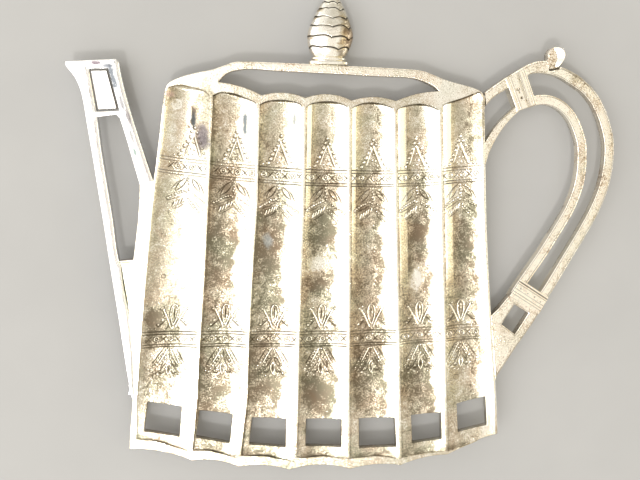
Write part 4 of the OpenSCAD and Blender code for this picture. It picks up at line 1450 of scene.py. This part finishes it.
# outer loop: its upper end runs in under the thumb curl
oa = np.vstack([smooth([[93.6, 75.6], [95.2, 75.5], [96.8, 75.4], [98.0, 75.35], [99.25, 75.65],
                        [100.35, 76.2], [101.3, 76.85], [102.4, 77.0], [104.4, 76.45], [107.1, 75.3],
                        [110.8, 73.5], [114.1, 71.1], [117.2, 68.5], [120.0, 65.6]], 4),
                after(out_a, lambda q: q[1] < 64.0 and q[0] > 90)])
ob_ = np.vstack([smooth([[93.6, 74.9], [95.1, 74.4], [96.4, 73.95], [98.0, 73.65], [100.8, 72.9],
                         [103.6, 71.75], [106.6, 70.05], [110.0, 68.1], [112.8, 66.3],
                         [115.2, 64.0]], 4),
                 after(out_b, lambda q: q[1] < 62.0 and q[0] > 90)])
strap2("handle_outer_loop_skin", oa, ob_, Z0, ZT, slot="silver_bars",
       replaces=("handle_outer_loop",), clean=-0.10,
       dip=lambda t: 0.35 * np.clip(1 - t / 0.025, 0, 1),
       spots=((105, 73.5, 3, 2, .06), (110.0, 70.8, 3.4, 3.4, .22), (115.0, 66.4, 3.4, 3.6, .26),
              (119.4, 60.6, 2.4, 3.2, .20), (122.4, 54.5, 3.0, 3.6, -.14), (127.6, 46.5, .9, 6.5, .34),
              (124.6, 42, 1.8, 8, -.12), (125.2, 28.5, 2.4, 5.0, .24), (126.8, 18.5, 1.6, 4.0, -.10),
              (123.6, 13, 1.6, 3.6, .16), (119.5, 5.6, 2.6, 2.0, -.14), (116.4, 0.6, 2.2, 4.6, .16),
              (110.9, -10.6, 2.6, 3.6, .26), (106.6, -20.0, 2.4, 3.4, .16), (102, -26, 2.6, 2.6, .10)))
ia = np.vstack([smooth([[69.5, 43.4], [70.8, 45.6], [73.0, 49.2], [75.4, 52.3], [78.0, 55.3],
                        [81.0, 58.2], [84.4, 61.2]], 4),
                after(in_a, lambda q: q[0] > 85.5 or q[1] < 30)])
ib = np.vstack([smooth([[70.35, 33.8], [71.3, 37.9], [72.7, 41.6], [74.7, 45.7], [76.9, 49.3],
                        [80.0, 53.3], [83.7, 57.0], [86.6, 59.0]], 4),
                after(in_b, lambda q: q[0] > 88.0 or q[1] < 30)])
strap2("handle_inner_loop_skin", ia, ib, Z0, ZT, slot="silver_bars",
       replaces=("handle_inner_loop",), clean=-0.10,
       spots=((72.5, 41.5, 2.6, 4.5, .14), (79.5, 54, 3.0, 3.0, .10), (90, 62, 3.4, 2.0, .08),
              (103, 60.6, 5.0, 3.0, -.10), (110.6, 51.5, 2.8, 4.6, -.14), (114.7, 39.5, 2.0, 6.5, .20),
              (115.4, 28.0, 1.8, 5.6, .22), (113.0, 17.5, 2.2, 4.0, .14), (110.2, 9.0, 2.2, 4.0, .24),
              (104.6, 2.8, 2.4, 3.0, .24), (101.6, -2.6, 2.2, 2.6, .20), (96.6, -9.6, 3.0, 4.6, -.12),
              (90.5, -18.6, 2.6, 3.4, .06)))


def lathe_z(name, cx, cy, prof, n=64, mat="bars", slot=None, replaces=(), sy=1.0):
    """Profile (radius, z) turned about a vertical axis; closed at both ends."""
    prof = np.array(prof, float)
    a = np.linspace(0, 2 * math.pi, n, endpoint=False)
    V = []
    for r, z in prof:
        V.append(np.column_stack([cx + r * np.cos(a), cy + r * sy * np.sin(a), np.full(n, z)]))
    V = np.vstack(V)
    q = grid_quads(len(prof), n, wrap=True)
    polys = [list(range(n))[::-1], [(len(prof) - 1) * n + k for k in range(n)]]
    ob = mesh_object(name, V, q, polys, mat, slot, replaces, sharp=40.0)
    fix_normals(ob)
    return ob


ta = smooth([[68.4, 65.0], [70.6, 66.8], [73.8, 69.1], [76.9, 71.3], [80.2, 73.4], [83.6, 75.5],
             [87.1, 77.6], [90.3, 78.8], [93.0, 79.3], [95.4, 79.5], [96.6, 80.2]], 4)
tb = smooth([[69.2, 59.6], [71.6, 62.4], [74.2, 64.5], [76.9, 66.2], [80.5, 68.5], [84.2, 70.6],
             [87.1, 72.6], [89.1, 73.75], [91.0, 74.12], [93.0, 74.2], [94.8, 74.1], [96.5, 73.9]], 4)
strap2("handle_top_strap_skin", ta, tb, Z0, ZT + 0.04, slot="silver_bars",
       replaces=("handle_top_strap",), wide_a=0.5, wide_b=0.2, clean=-0.02,
       spots=((72.5, 65.6, 3.0, 2.6, .06), (79.5, 70.6, 3.4, 2.4, .12), (86.6, 75.0, 2.6, 2.0, .10),
              (91.6, 77.4, 3.0, 2.4, .12)))


def thumb_curl():
    """The strap's end rolled up into a knob: a hollowed left side and a
    round right side."""
    n, m = 96, 40
    cx, cy = 99.4, 81.7
    a = np.linspace(0, 2 * math.pi, n, endpoint=False)
    # outline: a disc with a tail that runs down into the strap
    rad = np.interp(np.degrees(a),
                    [0, 200, 215, 228, 238, 247, 257, 268, 279, 290, 303, 318, 335, 360],
                    [3.75, 3.75, 4.5, 5.9, 6.5, 6.72, 6.38, 5.9, 5.42, 5.0, 4.45, 3.98, 3.8, 3.75])
    rad = (np.roll(rad, 1) + 2 * rad + np.roll(rad, -1)) / 4
    rr = np.concatenate([np.linspace(0.0, 0.82, m), [0.87, 0.915, 0.95, 0.975, 0.992, 1.0]])
    R, A = np.meshgrid(rr, a, indexing="ij")
    X = R * rad[None, :] * np.cos(A)
    Y = R * rad[None, :] * np.sin(A)
    line = np.interp(Y, [-5.0, -2.8, -0.8, 1.7, 3.6], [0.0, 0.15, 0.75, -0.15, -1.6])
    side = X - line
    right = 1.75 * np.clip(side / 3.0, 0, 1.25) ** 0.9
    left = 0.16 * np.clip(-side / 3.4, 0, 1)
    Z = 11.57 + np.where(side > 0, right, left)
    deg = np.degrees(A)
    free = np.interp(deg, [0, 84, 112, 236, 246, 360], [1, 1, 0, 0, 1, 1])
    Z = Z - 1.1 * free * np.clip((R - 0.84) / 0.16, 0, 1) ** 2.2
    Z = np.where((R > 0.8) & (free < 1), Z + (11.56 - Z) * (1 - free) * np.clip((R - 0.8) / 0.2, 0, 1), Z)
    Z = np.where(R > 0.999, np.where(free > 0.5, 10.15, 11.0), Z)
    nr = len(rr)
    # painted shade along the crease between the hollow and the round side
    cav_dirt_and_shade = 0.35 * np.exp(-((side + 0.05) / 0.2) ** 2) * (R < 0.93) * (Y > -3.0)
    # painted shadow along the lower rim, where the knob sits over the loop
    under_shadow = np.interp(deg, [0, 238, 246, 300, 318, 360], [0, 0, 1, 1, 0, 0])
    cav_dirt_and_shade = np.maximum(cav_dirt_and_shade, 0.95 * under_shadow * np.clip((R - 0.90) / 0.05, 0, 1))
    # painted reflection: the hollowed left half is darkened, the round right half cleaned
    tarn_and_painted_light = np.where(side < 0, 0.40, -0.1) * (R < 0.99)
    top = np.column_stack([cx + X.ravel(), cy + Y.ravel(), Z.ravel()])
    rims = []
    for sc, z in ((1.0, Z0 + 0.3), (0.96, Z0)):
        rims.append(np.column_stack([cx + sc * rad * np.cos(a), cy + sc * rad * np.sin(a),
                                     np.full(n, z)]))
    V = np.vstack([top] + rims)
    q = grid_quads(nr + 2, n, wrap=True)
    polys = [[(nr + 1) * n + k for k in range(n)]]
    attrs = {"cav_dirt_and_shade": np.concatenate([cav_dirt_and_shade.ravel(), np.zeros(2 * n)]),
             "tarn_and_painted_light": np.concatenate([tarn_and_painted_light.ravel(), np.zeros(2 * n)])}
    ob = mesh_object("thumb_curl", V, q, polys, "bars", "silver_bars", ("handle_top_strap",),
                     attrs, sharp=55.0)
    fix_normals(ob)
    return ob


thumb_curl()


def band_lines(across_x, lines, dots):
    """Grooves that run along a band; places are fractions of its width."""
    def fn(x, y, lu, lv):
        p, w = (x, lu) if across_x else (y, lv)
        q, ln = (y, lv) if across_x else (x, lu)
        dz = np.zeros_like(x)
        cav_dirt_and_shade = np.zeros_like(x)
        for f, d, hw in lines:
            g = np.exp(-((p - f * w) / hw) ** 2)
            dz -= d * g
            cav_dirt_and_shade = np.maximum(cav_dirt_and_shade, min(0.22 + 3.6 * d, 0.95) * g)
        for f, t, r in dots:
            g = np.exp(-(np.hypot(p - f * w, q - t * ln) / r) ** 2)
            dz -= 0.2 * g
            cav_dirt_and_shade = np.maximum(cav_dirt_and_shade, 0.95 * np.clip(1.6 * g, 0, 1))
        return dz, np.clip(cav_dirt_and_shade, 0, 0.95)
    return fn


quad_block("handle_upper_band_skin", [[76.9, 70.9], [85.4, 76.0], [91.9, 60.6], [83.1, 57.2]],
           Z0 - 0.3, ZT + 0.7,
           band_lines(True, ((.17, .10, .18), (.26, .04, .14), (.57, .06, .16), (.63, .08, .22),
                             (.69, .06, .16), (.84, .09, .14), (.93, .05, .12)),
                      ((.35, .42, .34), (.41, .46, .28), (.47, .43, .28), (.42, .52, .28),
                       (.42, .68, .46), (.61, .2, .22), (.63, .5, .22), (.60, .8, .22))),
           70, 90, bev=0.4, slot="silver_bars", replaces=("handle_upper_band",), clean=-0.16)
quad_block("handle_lower_band_skin", [[89.5, -17.2], [103.2, -25.7], [98.9, -33.6], [84.6, -24.9]],
           Z0 - 0.3, ZT + 0.7,
           band_lines(False, ((.13, .30, .22), (.24, .10, .14), (.52, .05, .14), (.68, .08, .15),
                              (.80, .06, .15)),
                      ((.40, .15, .25), (.42, .4, .2), (.38, .62, .25), (.42, .85, .2))),
           90, 70, bev=0.35, slot="silver_bars", replaces=("handle_lower_band",), clean=-0.12)
socket = [[84.6, -24.9], [98.9, -33.6], [96.3, -38.2], [89, -49.4], [84, -57.6], [81, -62.6],
          [80.4, -65], [78.4, -50], [76.6, -34.3], [79.9, -31.0]]
socket_win = [[87.3, -29], [94.3, -33.1], [88.4, -43], [81.7, -38.3]]
prism("handle_socket_skin", socket, Z0, ZT, holes=[socket_win], bev=0.42, mat="bars",
      slot="silver_bars", replaces=("handle_socket",), dens=2.5, edge_dirt_and_shade_scale=1.8,
      flush=[np.array([[84.6, -24.9], [98.9, -33.6]])])


# ------------------------------------------------------------------ finial
def finial():
    base_v = 77.45
    prof = smooth([[6.6, 0], [7.6, .8], [8.3, 2.0], [8.9, 4.0], [9.25, 6.6], [9.3, 9.3],
                   [8.8, 12.35], [7.4, 16.35], [5.4, 20.35], [3.5, 23.5], [1.7, 25.9],
                   [0.4, 26.5]], 6)
    H = 26.5
    nh, na = 400, 244
    h = np.linspace(0.0, H, nh)
    a = np.linspace(0, 2 * math.pi, na, endpoint=False)
    HH, AA = np.meshgrid(h, a, indexing="ij")
    RR = np.interp(HH, prof[:, 1], prof[:, 0])
    RR = RR * np.interp(HH, [0, 1, 2.9, 5.6, 8.7, 13.2, 16.6, 20.0, 26.5],
                        [.90, .93, .97, 1.01, 1.05, 1.02, 1.0, 1.03, 1.03])
    lean = np.interp(HH, [0, 2.9, 5.6, 8.7, 13.2, 16.6, 20.0, 26.5],
                     [.15, .1, .3, .55, .65, .8, .85, .95])
    tops = [4.4, 8.9, 13.2, 16.7, 20.3, 23.0, 27.5]
    cusp = [1.2, 1.5, 1.4, .9, .9, 1.1, 0.0]
    phase = [0.5, 0.0, 0.05, 0.04, 0.65, 0.60, 0.0]
    count = 7
    pitch = 2 * math.pi / count
    out = np.zeros_like(HH)
    cav_dirt_and_shade = np.zeros_like(HH)
    done = np.zeros(HH.shape, bool)

    def edge_at(k):
        # angle pi/2 faces the viewer
        w = ((AA - math.pi / 2) / pitch + phase[k]) % 1.0 - 0.5
        jag = 0.16 * np.sin(3.1 * AA + 2.2 * k) + 0.10 * np.sin(7.7 * AA + 1.3 * k)
        left = np.clip(1.15 - 0.9 * np.clip(np.cos(AA - math.radians(135)), 0, 1) ** 2, 0.3, 1)
        return tops[k] - cusp[k] * left * np.abs(2 * w) ** 1.8 + jag, w

    low = np.zeros_like(HH)
    for k in range(7):
        edge, w = edge_at(k)
        span = np.maximum(edge - low, 0.4)
        f = np.clip((HH - low) / span, 0, 1)
        rise = np.clip((HH - low) / 0.35, 0, 1) ** 0.5
        fall = np.clip(1 - (edge - HH) / 0.9, 0, 1) ** 2.0
        belly = 0.35 + 0.65 * rise - 0.55 * fall
        belly = belly + 0.10 * np.cos(2 * math.pi * w) * np.sin(math.pi * f)
        belly = belly + 0.05 * np.sin(9 * AA + 4 * HH + k) * np.sin(math.pi * f)
        amp = 0.62 * np.clip(RR / 5.0, 0.2, 1)
        val = RR - amp * (1 - np.clip(belly, -0.1, 1.1))
        take = (HH <= edge) & ~done
        out = np.where(take, val, out)
        # dark line in the crevice at each row's edge: dirt and painted shadow
        row_edge_dirt_and_shadow = np.exp(-((edge - HH) / 0.38) ** 2) + np.exp(-((HH - low) / 0.22) ** 2) * (k > 0)
        cav_dirt_and_shade = np.where(take, row_edge_dirt_and_shadow, cav_dirt_and_shade)
        done |= take
        low = edge
    # painted shade and painted reflection: the metal is dulled down the right side and at the upper left of the rows
    sx = np.cos(AA) * (np.sin(AA) > -0.2)
    wob = 0.5 * np.sin(1.9 * HH + 2.0 * AA) + 0.35 * np.sin(4.3 * HH - 3.0 * AA) \
        + 0.3 * np.sin(7.0 * AA + 1.1 * HH)
    tarn_and_painted_light = 0.45 * np.clip((sx - 0.30 + 0.16 * wob) / 0.25, 0, 1) * np.interp(HH, [3, 6, 16, 18, 30],
                                                                       [.5, 1, 1, .4, .3])
    for hh, aa, rh, ra, st in ((8.0, 155, 1.0, 16, .6), (19.4, 150, 1.0, 22, .6),
                               (15.9, 158, .9, 14, .5), (10.8, 47, 1.5, 14, .35),
                               (7.2, 40, 1.0, 12, .3)):
        r = np.hypot((HH - hh) / rh, (np.degrees(AA) - aa) / ra) + 0.25 * wob
        tarn_and_painted_light = tarn_and_painted_light + st * np.clip((1.2 - r) / 0.5, 0, 1)
    out = np.clip(out, 0.04, RR)
    flat = 0.56
    x = -0.2 + lean + out * np.cos(AA)
    zz = ZM + out * flat * np.sin(AA)
    y = base_v + HH
    V = np.column_stack([x.ravel(), y.ravel(), zz.ravel()])
    q = grid_quads(nh, na, wrap=True)
    polys = [list(range(na))[::-1], [(nh - 1) * na + k for k in range(na)]]
    ob = mesh_object("finial_cone", V, q, polys, "finial", "silver_finial", ("finial",),
                     {"cav_dirt_and_shade": np.clip(1.15 * cav_dirt_and_shade, 0, 1.0).ravel(), "tarn_and_painted_light": tarn_and_painted_light.ravel()}, sharp=70.0)
    fix_normals(ob)
    return ob


finial()


def lathe_y(name, cx, v0, prof, rz_scale, n=96, mat="finial", slot="silver_finial",
            replaces=(), power=2.0):
    """Profile (radius, v) about the upright axis of the finial, flattened in z."""
    prof = np.array(prof, float)
    a = np.linspace(0, 2 * math.pi, n, endpoint=False)
    ca, sa = np.cos(a), np.sin(a)
    ex = np.sign(ca) * np.abs(ca) ** (2.0 / power)
    ez = np.sign(sa) * np.abs(sa) ** (2.0 / power)
    V = []
    for r, v in prof:
        V.append(np.column_stack([cx + r * ex, np.full(n, v0 + v), ZM + r * rz_scale * ez]))
    V = np.vstack(V)
    q = grid_quads(len(prof), n, wrap=True)
    polys = [list(range(n))[::-1], [(len(prof) - 1) * n + k for k in range(n)]]
    ob = mesh_object(name, V, q, polys, mat, slot, replaces, sharp=40.0)
    fix_normals(ob)
    return ob


lathe_y("finial_disc", -0.2, 74.75, [(7.9, 0.0), (8.25, 0.12), (8.42, 0.4), (8.45, 0.75), (8.4, 1.05),
                                     (8.2, 1.3), (7.6, 1.45), (6.6, 1.52)], 0.42, power=3.2,
        replaces=("finial_collar",))
lathe_y("finial_cup", -0.2, 76.15, [(6.3, 0.0), (6.35, 0.2), (6.9, 0.38), (7.35, 0.62), (7.5, 0.9),
                                    (7.4, 1.2), (7.0, 1.42), (6.5, 1.5)], 0.54,
        power=2.3, replaces=("finial_collar",))

# ----------------------------------------------- CAD nodes that stay as made
for name in ("foot_spout_top", "foot_handle_top", "foot_spout_base", "foot_handle_base"):
    ob = NODES[name]
    ob.data.materials.clear()
    ob.data.materials.append(MAT["feet"])
NODES["foot_pads"].data.materials.clear()
NODES["foot_pads"].data.materials.append(MAT["felt"])
for name in ("joint_pegs", "finial_stud"):
    NODES[name].data.materials.clear()
    NODES[name].data.materials.append(MAT["steel"])

# ------------------------------------------------------------ floor, lights
me = bpy.data.meshes.new("floor")
me.from_pydata([(-3, -3, 0), (3, -3, 0), (3, 3, 0), (-3, 3, 0)], [], [(0, 1, 2, 3)])
floor = bpy.data.objects.new("floor", me)
bpy.context.scene.collection.objects.link(floor)
fm, fnt, fb = new_mat("pale_floor")
fco = node(fnt, "ShaderNodeTexCoord").outputs["Object"]
fn_ = noise(fnt, fco, 14.0, 3.0)
fnt.links.new(ramp(fnt, fn_, [(0.3, (0.355, 0.35, 0.343)), (0.7, (0.38, 0.375, 0.367))]),
              fb.inputs["Base Color"])
fb.inputs["Roughness"].default_value = 0.9
me.materials.append(fm)


def area_light(name, pos, target, size, power, color=(1, 1, 1), size_y=None):
    d = bpy.data.lights.new(name, "AREA")
    d.energy = power
    d.color = color
    d.shape = "RECTANGLE" if size_y else "DISK"
    d.size = size
    if size_y:
        d.size_y = size_y
    o = bpy.data.objects.new(name, d)
    o.location = pos
    o.rotation_euler = (Vector(target) - Vector(pos)).to_track_quat("-Z", "Y").to_euler()
    bpy.context.scene.collection.objects.link(o)
    return o


def radiance_power(radiance, sx, sy):
    """Watts that give an area light the wanted radiance."""
    return radiance * math.pi * sx * sy


# big soft light to the left of and below the object, a small key within it
area_light("soft_left", (-1.02, -0.26, 1.5), (-1.02, -0.26, 0), 1.64,
           radiance_power(2.1, 1.64, 1.6), (1.0, 1.0, 0.99), 1.6)
area_light("key", (-0.25, -0.62, 1.5), (0, 0, 0), 0.2,
           radiance_power(70.0, 0.2 * 0.886, 0.2 * 0.886), (1.0, 0.99, 0.97))

# studio walls and ceiling: even above, dimmer to the right, a warm reflector
# low on the right, and a dark far side
world = bpy.data.worlds.new("studio")
bpy.context.scene.world = world
world.use_nodes = True
wn = world.node_tree
wn.nodes.clear()
wo = wn.nodes.new("ShaderNodeOutputWorld")
bg = wn.nodes.new("ShaderNodeBackground")
wtc = wn.nodes.new("ShaderNodeTexCoord")
wsp = wn.nodes.new("ShaderNodeSeparateXYZ")
wn.links.new(wtc.outputs["Generated"], wsp.inputs[0])
wx = math_(wn, "MULTIPLY_ADD", wsp.outputs[0], 0.5, 0.5)
wy = math_(wn, "MULTIPLY_ADD", wsp.outputs[1], 0.5, 0.5)


def dirs(stops):
    return [((x + 1) / 2, c) for x, c in stops]


plain = ramp(wn, wx, dirs([(-1.0, (1.5, 1.49, 1.46)), (-0.72, (1.7, 1.68, 1.64)),
                           (-0.60, (1.15, 1.13, 1.09)), (-0.2, (1.05, 1.03, 0.99)),
                           (0.0, (1.05, 1.02, 0.96)), (0.30, (1.02, 0.975, 0.90)),
                           (0.37, (1.16, 1.12, 1.04)), (0.49, (1.14, 1.09, 0.99)),
                           (0.56, (0.66, 0.59, 0.49)),
                           (0.65, (0.45, 0.40, 0.33)), (0.95, (0.36, 0.33, 0.27))]))
warmw = ramp(wn, wx, dirs([(0.0, 0.0), (0.65, 0.0), (0.665, 1.0), (0.92, 1.0), (0.95, 0.0)]))
wlow = ramp(wn, wy, dirs([(-0.26, 0.0), (-0.13, 1.0), (0.30, 1.0), (0.5, 0.0)]))
both = math_(wn, "MULTIPLY", warmw, wlow)
lit = mix_col(wn, both, plain, (1.75, 1.58, 1.10))
rightish = ramp(wn, wx, dirs([(-0.36, 0.0), (-0.04, 1.0)]))
far = ramp(wn, wy, dirs([(0.0, 0.0), (0.32, 0.0), (0.56, 0.75), (0.82, 0.75), (0.86, 0.0)]))
lit = mix_col(wn, math_(wn, "MULTIPLY", far, rightish), lit, (0.62, 0.58, 0.50))
back = ramp(wn, wy, dirs([(0.0, 0.0), (0.84, 0.0), (0.88, 1.0)]))
lit = mix_col(wn, back, lit, (1.9, 1.85, 1.7))
side = ramp(wn, wx, dirs([(0.0, 0.0), (0.87, 0.0), (0.90, 1.0)]))
lit = mix_col(wn, side, lit, (2.3, 2.25, 2.1))
wn.links.new(lit, bg.inputs["Color"])
bg.inputs["Strength"].default_value = 1.0
wn.links.new(bg.outputs[0], wo.inputs[0])
